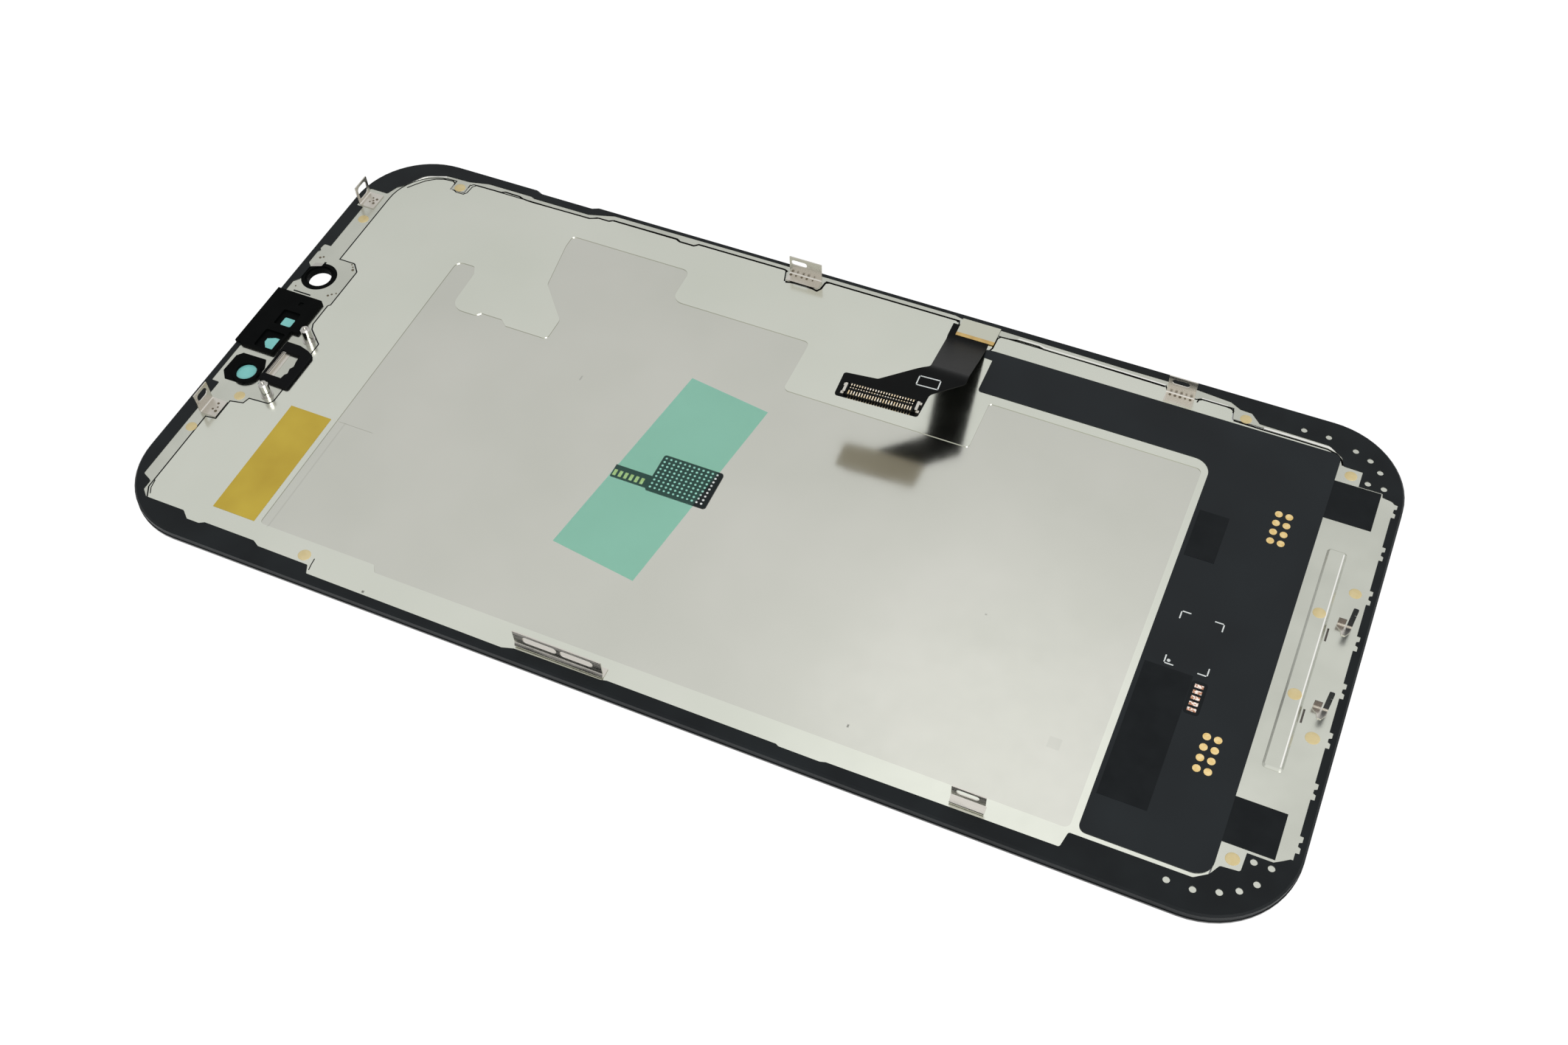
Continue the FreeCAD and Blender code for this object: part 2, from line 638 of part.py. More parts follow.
def build_locating_posts():
    body = new_body("locating_posts")
    radius = named("post_radius")
    top = margin + named("post_height")
    places = [(along(-69.3), across(-1.9)), (along(-69.1), across(-12.8))]
    pad(body, "post_flanges", [], margin, named("plate_sheet"), [(place, radius * 1.3) for place in places])
    pad(body, "post_shafts", [], margin, named("post_height"), [(place, radius) for place in places])
    soften(body, "Chamfer", "post_tips", radius * 0.25, at_height(top))
    cut(body, "post_dimples", [], top, radius * 0.3, [(place, radius * 0.35) for place in places])


def bent_profile(foot_end, bend_face, bottom, height, lean=0.0, lean_height=0.4):
    # Side view of a bent clip: a flat foot, then an upright tab that may lean inwards low down.
    gauge = named("clip_sheet")
    bend = named("clip_bend")
    inward = 1 if foot_end.value > bend_face.value else -1
    bend_inside = bend_face + gauge * inward
    tab_face = bend_face + lean * inward
    tab_inside = tab_face + gauge * inward
    knee = bottom + height * lean_height
    outer_knee = [(tab_face, knee)] if lean else []
    inner_knee = [(tab_inside, knee)] if lean else []
    return [(foot_end, bottom), (bend_face, bottom, bend + gauge), *outer_knee, (tab_face, bottom + height),
            (tab_inside, bottom + height), *inner_knee, (bend_inside, bottom + gauge, bend),
            (foot_end, bottom + gauge)]


def add_edge_clip(body, name, left, right, foot_end, bend_face, slots, lean=0.0, lean_height=0.4):
    # A clip welded along a long side: slots are (left, right, middle height, tallness).
    gauge = named("clip_sheet")
    height = named("clip_height")
    start = along(left)
    side = bent_profile(across(foot_end), across(bend_face), margin, height, lean, lean_height)
    pad(body, name, [side], start, along(right) - start, plane="YZ")
    inward = 1 if foot_end > bend_face else -1
    tab_face = across(bend_face) + lean * inward
    tab_low = tab_face if inward > 0 else tab_face - gauge
    holes = []
    for slot_left, slot_right, middle, tall in slots:
        low = margin + height * middle - tall / 2
        rounding = as_size(tall * 0.45)
        holes.append([(along(slot_left), low, rounding), (along(slot_right), low, rounding),
                      (along(slot_right), low + tall, rounding), (along(slot_left), low + tall, rounding)])
    cut(body, name + "_slots", holes, -tab_low, gauge, plane="XZ")


def build_edge_clips():
    far = new_body("edge_clips_far")
    add_edge_clip(far, "far_clip_left", -11.1, -6.1, 34.3, 36.05, [(-10.8, -8.4, 0.7, 0.9)])
    add_edge_clip(far, "far_clip_right", 45.4, 49.3, 32.7, 34.55, [(45.9, 48.3, 0.72, 0.9)])
    near = new_body("edge_clips_near")
    long_slots = [(-15.7, -11.0, 0.66, 1.2), (-10.5, -6.0, 0.66, 1.2)]
    add_edge_clip(near, "near_clip_long", -17.0, -4.8, -34.3, -35.95, long_slots, 0.35, 0.3)
    add_edge_clip(near, "near_clip_short", 39.8, 44.0, -34.0, -35.5, [(40.4, 43.2, 0.74, 0.9)], 0.85, 0.45)


def build_corner_loops():
    body = new_body("corner_loops")
    gauge = named("clip_sheet")
    height = named("clip_height")
    rim = named("loop_rim")
    for name, near, far, tab_face, foot_end, sill in (
            ("far_loop", 24.6, 27.6, -77.5, -75.0, 0.2), ("near_loop", -19.0, -16.1, -76.0, -73.4, 0.48)):
        side = bent_profile(along(foot_end), along(tab_face), margin, height)
        pad(body, name, [side], -across(far), across(far) - across(near), plane="XZ")
        low = margin + height * sill
        high = margin + height - rim
        round_corner = rim * 1.2
        window = [(across(near) + rim, low, round_corner), (across(far) - rim, low, round_corner),
                  (across(far) - rim, high, round_corner), (across(near) + rim, high, round_corner)]
        cut(body, name + "_window", [window], along(tab_face) + gauge, gauge, plane="YZ")


def build_hook_clips():
    # Each hook is one bent strip: a short leaf, a foot welded to the surround, and a tall blade.
    body = new_body("hook_clips")
    gauge = named("clip_sheet")
    blade_width = 0.65
    leaf_height = named("clip_height") * 0.4
    for name, y in (("far_hook", 6.1), ("near_hook", -6.5)):
        foot = outline((75.1, y + 0.1), (75.1, y - 0.4, 0.3), (75.7, y - 0.9), (75.9, y - 1.5),
                       (76.4, y - 1.5), (76.9, y - 0.7, 0.3), (76.9, y + 0.1))
        pad(body, name + "_foot", [foot], margin, gauge)
        face = -across(y) - gauge * 0.5
        leaf_end = along(76.05)
        leaf = [(along(75.1), margin), (leaf_end, margin), (leaf_end, margin + leaf_height),
                (along(75.1), margin + leaf_height)]
        pad(body, name + "_leaf", [leaf], face, gauge, plane="XZ")
        left = along(76.25)
        top = margin + named("hook_height")
        round_tip = as_size(blade_width * 0.3)
        blade = [(left, margin), (left + blade_width, margin), (left + blade_width, top, round_tip),
                 (left, top, round_tip)]
        pad(body, name + "_blade", [blade], face, gauge, plane="XZ")
        notch_left, notch_right = left + blade_width * 0.6, left + blade_width + gauge
        notch_low, notch_high = top - 1.5, top - 1.25
        notch = [(notch_left, notch_low), (notch_right, notch_low), (notch_right, notch_high),
                 (notch_left, notch_high)]
        cut(body, name + "_notch", [notch], face + gauge, gauge, plane="XZ")


# The flexible driver film that is glued over the driver end of the back.
film_left, film_right = 54.4, 69.8


def build_driver_film():
    body = new_body("driver_film")
    corners = outline((film_left, -32.75, 1), (film_right, -32.75, 2.2), (film_right, 32.3, 1.2),
                      (21.6, 32.5, 0.3), (20.3, 32.4, 0.2), (20.3, 31.0, 0.2), (21.7, 30.9, 0.2),
                      (21.7, 24.9, 0.4), (film_left, 24.8, 2.3))
    pad(body, "film", [corners], margin, named("film_thickness"))

    labels = new_body("film_labels")
    patches = [rectangle(55.0, 9.0, 58.9, 16.6), rectangle(55.0, -27.4, 61.0, -8.0)]
    pad(labels, "labels", patches, film_top, named("label_thickness"))

    tapes = new_body("corner_tapes")
    strips = [rectangle(film_right, 21.5, 75.9, 27.9), rectangle(film_right, -27.7, 75.9, -21.6)]
    pad(tapes, "tape_strips", strips, margin, named("corner_tape_thickness"))

    test_pads = new_body("test_pads")
    pitch = named("pad_pitch")
    column_gap = named("pad_radius") * 2.7
    for name, x, y in (("far_pads", 64.5, 19.7), ("near_pads", 64.7, -15.4)):
        first = regular((along(x), across(y) - pitch * 3), named("pad_radius"), 12)
        seed = pad(test_pads, name, [first], film_top, named("pad_thickness"))
        pattern_grid(test_pads, name + "_grid", seed, column_gap, 2, pitch * 3, 4)

    solder_pads = new_body("solder_pads")
    fingers = [rectangle(61.5, y, 62.6, y + 0.5) for y in (-12.8, -11.95, -11.1, -10.25, -9.4)]
    pad(solder_pads, "finger_pads", fingers, film_top, named("pad_thickness"))


# The display flex rises from its root on the far side to the connector board.
flex_root, ramp_foot, ramp_head = 35.4, 32.4, 20.3


def build_display_flex():
    body = new_body("display_flex")
    gauge = named("flex_thickness")
    low = margin
    high = margin + named("flex_lift")
    board_edge = across(10.6)
    low_bend, high_bend = as_size(3), as_size(4)
    side = [(across(flex_root), low), (across(ramp_foot), low, low_bend),
            (across(ramp_head), high, high_bend), (board_edge, high), (board_edge, high + gauge),
            (across(ramp_head), high + gauge, high_bend + gauge),
            (across(ramp_foot), low + gauge, low_bend - gauge), (across(flex_root), low + gauge)]
    left, right = along(4.0), along(23.0)
    pad(body, "flex_band", [side], left, right - left, plane="YZ")
    shape = outline((14.3, 36.0), (14.3, 33.0, 2), (16.1, 20.7, 0.8), (10.55, 15.75, 0.8), (6.0, 15.2, 0.4),
                    (6.2, 11.1, 0.4), (17.7, 11.6, 0.4), (17.85, 15.75, 1), (21.6, 19.2, 0.8),
                    (20.2, 33.0, 2), (20.2, 36.0))
    waste = rectangle(3.0, 8.0, 24.0, 37.0)
    cut(body, "flex_trim", [waste, shape], high + 1, as_size(1) + high)

    tape = new_body("flex_root_tape")
    pad(tape, "root_tape", [rectangle(15.3, 33.4, 20.9, 36.7)], flex_top, named("tape_thickness"))


contact_count = 24
connector_place = (11.9, 13.4)


def build_connector():
    # An open plug: a wall round a well, a tongue along its middle, and a row of contacts on each side of it.
    base = margin + named("flex_lift") + named("flex_thickness")
    height = named("connector_height")
    housing = new_body("connector_housing")
    row_length = named("contact_pitch") * (contact_count - 1)
    wall_end, well_end = 1.4, 0.5
    block_depth, well_depth, tongue_depth = 2.7, 1.9, 0.6
    block = centred(*connector_place, row_length + wall_end, block_depth, 0.2)
    pad(housing, "housing_block", [block], base, height)
    well = centred(*connector_place, row_length + well_end, well_depth)
    cut(housing, "housing_well", [well], base + height, height * 0.7)
    pad(housing, "housing_tongue", [centred(*connector_place, row_length, tongue_depth)], base, height)

    contacts = new_body("connector_contacts")
    width = named("contact_width")
    left = along(connector_place[0]) - row_length * 0.5 - width * 0.5
    contact_depth = 0.5
    near = across(connector_place[1]) - 0.93
    far = near + contact_depth
    floor = base + height * 0.3
    first = [(left, near), (left + width, near), (left + width, far), (left, far)]
    seed = pad(contacts, "first_contact", [first], floor, height * 0.55)
    row_gap = as_size(1.36)
    pattern_grid(contacts, "contact_rows", seed, row_length, contact_count, row_gap, 2)


board_outline = outline((-18.4, -7.3), (-13.1, -7.3), (-13.1, -7.6, 0.2), (-4.35, -7.6, 0.4),
                        (-4.35, -1.4, 0.4), (-13.1, -1.4, 0.4), (-13.1, -5.3), (-18.4, -5.3))


def build_touch_board():
    body = new_body("touch_board")
    pad(body, "board", [board_outline], recess_floor, named("board_thickness"))

    dots = new_body("touch_board_dots")
    pitch = named("dot_pitch")
    first = (along(-12.6), across(-6.9))
    radius = named("dot_radius")
    seed = pad(dots, "first_dot", [regular(first, radius, 4)], board_top, named("print_height"))
    columns, rows = 12, 8
    pattern_grid(dots, "dot_grid", seed, pitch * (columns - 1), columns, pitch * (rows - 1), rows)

    fingers = new_body("touch_board_fingers")
    finger_width, finger_pitch = 0.45, 0.8
    starts = [-18.2 + step * finger_pitch for step in range(6)]
    strips = [rectangle(start, -7.1, start + finger_width, -6.1) for start in starts]
    pad(fingers, "finger_strips", strips, board_top, named("print_height"))


def build_tapes():
    gauge = named("tape_thickness")
    yellow = new_body("yellow_tape")
    pad(yellow, "yellow_strip", [rectangle(-64.8, -31.9, -58.35, -13.2)], margin, gauge)

    green = new_body("green_tape")
    strip = outline((-15.6, 12.3), (-20.4, -19.6), (-8.0, -21.3), (-3.4, 10.6))
    pad(green, "green_strip", [strip], recess_floor, gauge)
    over_board = outline((-18.1, -7.6, 0.3), (-13.4, -7.9), (-6.1, -7.9), (-5.15, -1.1), (-13.4, -1.1, 0.3),
                         (-13.4, -5.0), (-17.9, -5.0, 0.3))
    pad(green, "green_roof", [over_board], recess_floor, roof + gauge - recess_floor)
    cut(green, "green_hollow", [board_outline], roof, roof - recess_floor)


glue_places = {
    "sheet": [(-65.1, 33.7), (-75.3, 22.2), (-72.6, -14.4), (-75.6, -21.6), (-49.1, -33.95), (56.7, 33.7),
              (71.6, 29.4), (71.5, -29.4), (76.3, 11.3), (76.2, -10.8)],
    "rib": [(72.75, 6.6), (72.75, -5.9)],
}
glue_spread = (1.0, 0.9, 1.02, 0.94, 0.97, 0.88)


def build_glue_dots():
    # Flat blobs of glue that no two spread quite alike.
    body = new_body("glue_dots")
    levels = {"sheet": margin, "rib": margin + named("end_rib_height")}
    radius, height = named("glue_radius"), named("glue_height")
    for group, places in glue_places.items():
        for number, (x, y) in enumerate(places):
            start = number % len(glue_spread)
            spread = glue_spread[start:] + glue_spread[:start]
            blob = regular((along(x), across(y)), radius, 12, spread)
            pad(body, "glue_%s_%d" % (group, number), [blob], levels[group], height)
        soften(body, "Chamfer", "glue_dome_" + group, height * 0.7, at_height(levels[group] + height))


def build_driver_parts():
    chip = new_body("driver_chip")
    thickness = named("chip_thickness")
    chip_outline = rectangle(73.2, -driver_half_width, 74.5, driver_half_width)
    pad(chip, "chip", [chip_outline], filter_glass_back - thickness, thickness)

    leds = new_body("led_bar")
    pad(leds, "leds", [rectangle(70.2, -31.0, 71.5, 31.0)], panel_glass_back, guide_back - panel_glass_back)

    flex = new_body("panel_flex")
    gauge = named("panel_flex_thickness")
    low = filter_glass_back - gauge
    top = margin
    run = reflector_back + named("recess_depth") * 0.5 + gauge * 0.5
    outer, slot = along(76.2), along(69.65)
    tail = along(74.7)
    bend = as_size(0.25)
    side = [(tail, low), (outer, low, bend), (outer, run, bend), (slot, run, gauge), (slot, top),
            (slot - gauge, top), (slot - gauge, run - gauge, gauge * 2),
            (outer - gauge, run - gauge, bend - gauge), (outer - gauge, low + gauge, bend - gauge),
            (tail, low + gauge)]
    reach = across(driver_half_width)
    pad(flex, "flex_band_c", [side], -reach, reach * 2, plane="XZ")


build_cover_glass()
build_display_stack()
build_bezel_frame()
build_frame_insert()
build_backplate()
build_camera_ring()
build_sensor_bracket()
build_sensor_windows()
build_infrared_ring()
build_infrared_window()
build_receiver()
build_locating_posts()
build_edge_clips()
build_corner_loops()
build_hook_clips()
build_driver_film()
build_display_flex()
build_connector()
build_touch_board()
build_tapes()
build_glue_dots()
build_driver_parts()
document.recompute()

for item in document.Objects:
    if "Invalid" in item.State or "Error" in item.State:
        raise RuntimeError(item.Name + " did not build")
bodies = [item for item in document.Objects if item.TypeId == "PartDesign::Body"]
for body in bodies:
    if body.Shape.isNull() or not body.Shape.isValid():
        raise RuntimeError(body.Label + " has no sound shape")
os.makedirs("parts", exist_ok=True)
for body in bodies:
    body.Shape.exportStep("parts/" + body.Label + ".step")
    print(body.Label, len(body.Shape.Solids), "solids", round(body.Shape.Volume, 3))
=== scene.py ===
import bpy
import json
import math
from mathutils import Matrix, Vector


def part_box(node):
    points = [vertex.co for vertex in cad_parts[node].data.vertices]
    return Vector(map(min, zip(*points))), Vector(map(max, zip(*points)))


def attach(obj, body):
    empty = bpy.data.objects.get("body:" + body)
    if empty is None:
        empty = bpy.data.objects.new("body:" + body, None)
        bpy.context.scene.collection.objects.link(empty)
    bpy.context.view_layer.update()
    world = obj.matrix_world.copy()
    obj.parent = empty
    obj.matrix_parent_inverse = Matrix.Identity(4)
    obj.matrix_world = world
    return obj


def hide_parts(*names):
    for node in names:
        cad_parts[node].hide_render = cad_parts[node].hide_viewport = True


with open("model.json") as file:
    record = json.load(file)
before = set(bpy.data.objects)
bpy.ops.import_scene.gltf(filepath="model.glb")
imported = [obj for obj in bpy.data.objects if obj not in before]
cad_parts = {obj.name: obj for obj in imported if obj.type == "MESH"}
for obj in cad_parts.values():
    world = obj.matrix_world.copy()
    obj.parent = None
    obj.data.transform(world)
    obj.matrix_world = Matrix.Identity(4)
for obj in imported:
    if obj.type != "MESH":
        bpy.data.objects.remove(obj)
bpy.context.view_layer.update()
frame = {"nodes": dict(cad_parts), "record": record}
print("frame loaded:", len(frame["nodes"]), "nodes")

mm = 0.001
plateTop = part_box("backplate")[1][2]  # height of the back plate's margin
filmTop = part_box("driver_film")[1][2]
boardLow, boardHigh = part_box("touch_board")
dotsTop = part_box("touch_board_dots")[1][2]
ribTop = plateTop + 0.3 * mm
toneEdge = 0.1 * mm  # softness of the border between two tones of one piece


# Camera: fitted to the photograph's corners, in metres and pixels of a 2126 x 1417 frame.
cameraSettings = {
    "place": (0.06371651, -0.12339765, 0.17987892),
    "right": (0.91551176, 0.40111019, -0.03080299),
    "down": (0.30669783, -0.74546691, -0.59179011),
    "forward": (-0.26033566, 0.5323436, -0.80550335),
    "focalPixels": 2314.667,
    "frameWidth": 2126,
    "sensorWidth": 36.0,
}


def placeCamera(settings):
    data = bpy.data.cameras.new("photoCamera")
    data.sensor_fit = "HORIZONTAL"
    data.sensor_width = settings["sensorWidth"]
    data.lens = settings["focalPixels"] / settings["frameWidth"] * settings["sensorWidth"]
    data.clip_start = 0.01
    camera = bpy.data.objects.new("photoCamera", data)
    bpy.context.scene.collection.objects.link(camera)
    right = Vector(settings["right"])
    up = -Vector(settings["down"])
    back = -Vector(settings["forward"])
    turn = Matrix((right, up, back)).transposed().to_4x4()
    camera.matrix_world = Matrix.Translation(settings["place"]) @ turn
    bpy.context.scene.camera = camera


placeCamera(cameraSettings)
bpy.context.scene.view_settings.view_transform = "Standard"
print("camera placed")


def linear(hexColour):
    channels = [int(hexColour[i:i + 2], 16) / 255 for i in (1, 3, 5)]
    return tuple(c / 12.92 if c <= 0.04045 else ((c + 0.055) / 1.055) ** 2.4 for c in channels) + (1.0,)


def addNode(tree, kind, inputs=None, **settings):
    node = tree.nodes.new(kind)
    for name, value in settings.items():
        setattr(node, name, value)
    for key, value in (inputs or {}).items():
        if isinstance(value, bpy.types.NodeSocket):
            tree.links.new(value, node.inputs[key])
        else:
            node.inputs[key].default_value = value
    return node


def startMaterial(name, colour, roughness, **sockets):
    # A principled surface whose fixed values sit on its own sockets.
    material = bpy.data.materials.new(name)
    material.use_nodes = True
    tree = material.node_tree
    tree.nodes.clear()
    values = {"Base Color": linear(colour), "Roughness": roughness}
    values.update(sockets)
    shader = addNode(tree, "ShaderNodeBsdfPrincipled", values)
    addNode(tree, "ShaderNodeOutputMaterial", {"Surface": shader.outputs["BSDF"]})
    position = addNode(tree, "ShaderNodeTexCoord").outputs["Object"]
    return material, tree, shader, position


def addGrain(tree, shader, position, grainSize, depth, detail=3.0):
    # Fine relief of one grain size, in metres.
    noise = addNode(tree, "ShaderNodeTexNoise", {
        "Vector": position, "Scale": 1 / grainSize, "Detail": detail})
    bump = addNode(tree, "ShaderNodeBump", {
        "Height": noise.outputs["Fac"], "Strength": 1.0, "Distance": depth})
    tree.links.new(bump.outputs["Normal"], shader.inputs["Normal"])


def mixColours(tree, factor, low, high):
    mix = addNode(tree, "ShaderNodeMix", {0: factor, 6: low, 7: high}, data_type="RGBA")
    return mix.outputs[2]


def spreadNoise(tree, position, patchSize, low, high, detail=2.0):
    # Soft patches of one size, from 0 to 1.
    noise = addNode(tree, "ShaderNodeTexNoise", {
        "Vector": position, "Scale": 1 / patchSize, "Detail": detail})
    spread = addNode(tree, "ShaderNodeMapRange", {0: noise.outputs["Fac"], 1: low, 2: high})
    return spread.outputs[0]


def paintClouds(tree, shader, position, patchSize, dark, light, low=0.3, high=0.7, detail=2.0):
    # Colours the surface in soft patches that lie between two close tones.
    patches = spreadNoise(tree, position, patchSize, low, high, detail)
    tone = mixColours(tree, patches, linear(dark), linear(light))
    tree.links.new(tone, shader.inputs["Base Color"])


def boxMask(tree, position, middle, half, edge):
    # 1 inside an upright box, falling to 0 over one edge width outside it.
    offset = addNode(tree, "ShaderNodeVectorMath", {0: position, 1: middle}, operation="SUBTRACT")
    reach = addNode(tree, "ShaderNodeVectorMath", {0: offset.outputs[0]}, operation="ABSOLUTE")
    over = addNode(tree, "ShaderNodeVectorMath", {0: reach.outputs[0], 1: half}, operation="SUBTRACT")
    parts = addNode(tree, "ShaderNodeSeparateXYZ", {0: over.outputs[0]})
    widest = addNode(tree, "ShaderNodeMath", {0: parts.outputs[0], 1: parts.outputs[1]}, operation="MAXIMUM")
    mask = addNode(tree, "ShaderNodeMapRange", {0: widest.outputs[0], 1: 0.0, 2: edge, 3: 1.0, 4: 0.0})
    return mask.outputs[0]


def discMask(tree, position, middle, radius, edge):
    # 1 inside an upright cylinder, falling to 0 over one edge width outside it.
    offset = addNode(tree, "ShaderNodeVectorMath", {0: position, 1: middle}, operation="SUBTRACT")
    flat = addNode(tree, "ShaderNodeVectorMath", {0: offset.outputs[0], 1: (1, 1, 0)}, operation="MULTIPLY")
    reach = addNode(tree, "ShaderNodeVectorMath", {0: flat.outputs[0]}, operation="LENGTH")
    mask = addNode(tree, "ShaderNodeMapRange", {
        0: reach.outputs["Value"], 1: radius, 2: radius + edge, 3: 1.0, 4: 0.0})
    return mask.outputs[0]


def surfaceSocket(tree):
    output = next(node for node in tree.nodes if node.bl_idname == "ShaderNodeOutputMaterial")
    return output.inputs["Surface"]


def letThrough(tree, shader, share, tint):
    # Lets part of the light straight through the front faces and all of it through the back ones.
    inside = addNode(tree, "ShaderNodeNewGeometry").outputs["Backfacing"]
    tinted = addNode(tree, "ShaderNodeBsdfTransparent", {"Color": tint})
    clear = addNode(tree, "ShaderNodeBsdfTransparent", {"Color": (1, 1, 1, 1)})
    front = addNode(tree, "ShaderNodeMixShader", {0: share, 1: shader.outputs["BSDF"], 2: tinted.outputs[0]})
    both = addNode(tree, "ShaderNodeMixShader", {0: inside, 1: front.outputs[0], 2: clear.outputs[0]})
    tree.links.new(both.outputs[0], surfaceSocket(tree))


def finishPiece(piece, slotName, *replaced):
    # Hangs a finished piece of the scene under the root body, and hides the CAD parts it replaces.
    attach(piece, "root")
    if replaced:
        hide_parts(*replaced)


def makePiece(name, points, faces, material):
    mesh = bpy.data.meshes.new(name)
    mesh.from_pydata(points, [], faces)
    mesh.materials.append(material)
    mesh.update()
    piece = bpy.data.objects.new(name, mesh)
    bpy.context.scene.collection.objects.link(piece)
    return piece


def slab(corners, bottom, top):
    # Points and faces of a flat slab whose outline runs anticlockwise, sizes in mm.
    count = len(corners)
    points = [(x * mm, y * mm, level) for level in (bottom, top) for x, y in corners]
    sides = [(i, (i + 1) % count, (i + 1) % count + count, i + count) for i in range(count)]
    return points, [tuple(range(count - 1, -1, -1)), tuple(range(count, 2 * count))] + sides


def joinForms(name, forms, material):
    # One piece from several closed forms, each its own points and faces.
    points, faces = [], []
    for newPoints, newFaces in forms:
        start = len(points)
        points += newPoints
        faces += [tuple(i + start for i in face) for face in newFaces]
    return makePiece(name, points, faces, material)


def makeSlabs(name, slabs, material):
    return joinForms(name, [slab(*sizes) for sizes in slabs], material)


def instanceTree(kind, material):
    # Puts one small form on every point of the piece, each a little larger or smaller, as plain mesh.
    tree = bpy.data.node_groups.new("repeat" + kind, "GeometryNodeTree")
    points = tree.interface.new_socket("points", in_out="INPUT", socket_type="NodeSocketGeometry")
    sockets = {"points": points}
    for label in ("length", "width", "height", "spread", "turn"):
        sockets[label] = tree.interface.new_socket(label, in_out="INPUT", socket_type="NodeSocketFloat")
    tree.interface.new_socket("result", in_out="OUTPUT", socket_type="NodeSocketGeometry")
    inputs = addNode(tree, "NodeGroupInput").outputs
    if kind == "Disc":
        form = addNode(tree, "GeometryNodeMeshCylinder", {
            "Vertices": 12, "Radius": inputs["length"], "Depth": inputs["height"]}).outputs["Mesh"]
    else:
        size = addNode(tree, "ShaderNodeCombineXYZ", {
            0: inputs["length"], 1: inputs["width"], 2: inputs["height"]})
    if kind == "Blob":
        ball = addNode(tree, "GeometryNodeMeshUVSphere", {"Segments": 28, "Rings": 12, "Radius": 1.0})
        form = addNode(tree, "GeometryNodeTransform", {
            "Geometry": ball.outputs["Mesh"], "Scale": size.outputs[0]}).outputs["Geometry"]
    elif kind == "Block":
        form = addNode(tree, "GeometryNodeMeshCube", {"Size": size.outputs[0]}).outputs["Mesh"]
    low = addNode(tree, "ShaderNodeMath", {0: 1.0, 1: inputs["spread"]}, operation="SUBTRACT")
    high = addNode(tree, "ShaderNodeMath", {0: 1.0, 1: inputs["spread"]}, operation="ADD")
    scale = addNode(tree, "FunctionNodeRandomValue", {2: low.outputs[0], 3: high.outputs[0], "Seed": 7})
    turn = addNode(tree, "ShaderNodeCombineXYZ", {2: inputs["turn"]})
    placed = addNode(tree, "GeometryNodeInstanceOnPoints", {
        "Points": inputs["points"], "Instance": form, "Rotation": turn.outputs[0], "Scale": scale.outputs[1]})
    real = addNode(tree, "GeometryNodeRealizeInstances", {"Geometry": placed.outputs[0]})
    painted = addNode(tree, "GeometryNodeSetMaterial", {"Geometry": real.outputs[0], "Material": material})
    addNode(tree, "NodeGroupOutput", {0: painted.outputs[0]})
    return tree, {label: socket.identifier for label, socket in sockets.items()}


def ribbon(points, width, bottom, top):
    # Points and faces of one flat band that follows a line with mitred bends, sizes in mm.
    line = [Vector(point) for point in points]
    runs = [(end - start).normalized() for start, end in zip(line, line[1:])]
    corners = []
    for number, point in enumerate(line):
        before = runs[max(number - 1, 0)]
        after = runs[min(number, len(runs) - 1)]
        along = (before + after).normalized()
        side = Vector((along.y, -along.x)) * width / 2 / max(along.dot(after), 0.5)
        corners += [(*((point + side) * mm), bottom), (*((point - side) * mm), bottom),
                    (*((point - side) * mm), top), (*((point + side) * mm), top)]
    faces = [(3, 2, 1, 0)]
    for start in range(0, len(corners) - 4, 4):
        faces += [(start + k, start + (k + 1) % 4, start + 4 + (k + 1) % 4, start + 4 + k) for k in range(4)]
    last = len(corners) - 4
    return corners, faces + [(last, last + 1, last + 2, last + 3)]


def repeatForm(name, kind, places, material, **sizes):
    tree, identifiers = instanceTree(kind, material)
    seeds = makePiece(name + "Places", places, [], material)
    modifier = seeds.modifiers.new("repeat", "NODES")
    modifier.node_group = tree
    for label, value in sizes.items():
        modifier[identifiers[label]] = value
    shown = seeds.evaluated_get(bpy.context.evaluated_depsgraph_get())
    mesh = bpy.data.meshes.new_from_object(shown)
    mesh.name = name
    seeds.modifiers.remove(modifier)
    bpy.data.objects.remove(seeds)
    piece = bpy.data.objects.new(name, mesh)
    bpy.context.scene.collection.objects.link(piece)
    return piece


def roundedBox(low, high, radius, steps=5):
    # Corners of an upright rectangle with round corners, anticlockwise.
    corners = []
    left, right, near, far = low[0] + radius, high[0] - radius, low[1] + radius, high[1] - radius
    for number, (x, y) in enumerate(((right, near), (right, far), (left, far), (left, near))):
        for step in range(steps + 1):
            angle = (number - 1 + step / steps) * math.pi / 2
            corners.append((x + radius * math.cos(angle), y + radius * math.sin(angle)))
    return corners


def middleOf(box):
    low, high = box
    return tuple((low[i] + high[i]) / 2 for i in range(3))


# Floor, backdrop and soft studio light.
studioSettings = {
    "floorSize": 6.0,
    "floorDrop": 0.05 * mm,  # keeps the floor and the front glass from lying in one plane
    "floorColour": "#F4F4F2",
    "ownWhite": 0.86,  # share of the floor that shows as plain white, so that only a soft shadow is left
    "whiteStrength": 1.12,
    "skyDiffuse": 0.5,
    "skyGlossyLow": 0.76,
    "skyGlossyHigh": 1.03,
    "skyRiseFrom": 0.62,  # the mirrored sky brightens between these two heights, as the sine of the elevation
    "skyRiseTo": 0.92,
    "paneDirection": (-0.1, 0.45, 0.887),  # overhead pane that the plate's near right part mirrors
    "paneStrength": 0.3,
    "sideDirection": (0.5, -0.76, 0.42),  # tall panel beside the camera that lights the walls facing it
    "sideStrength": 0.35,
    "endDirection": (0.8, 0.53, 0.27),  # panel past the driver end, mirrored by the slopes that face it
    "endStrength": 0.3,
    "keyPlace": (0.42, -0.36, 0.55),
    "keySize": 0.35,
    "keyPower": 3.6,
}


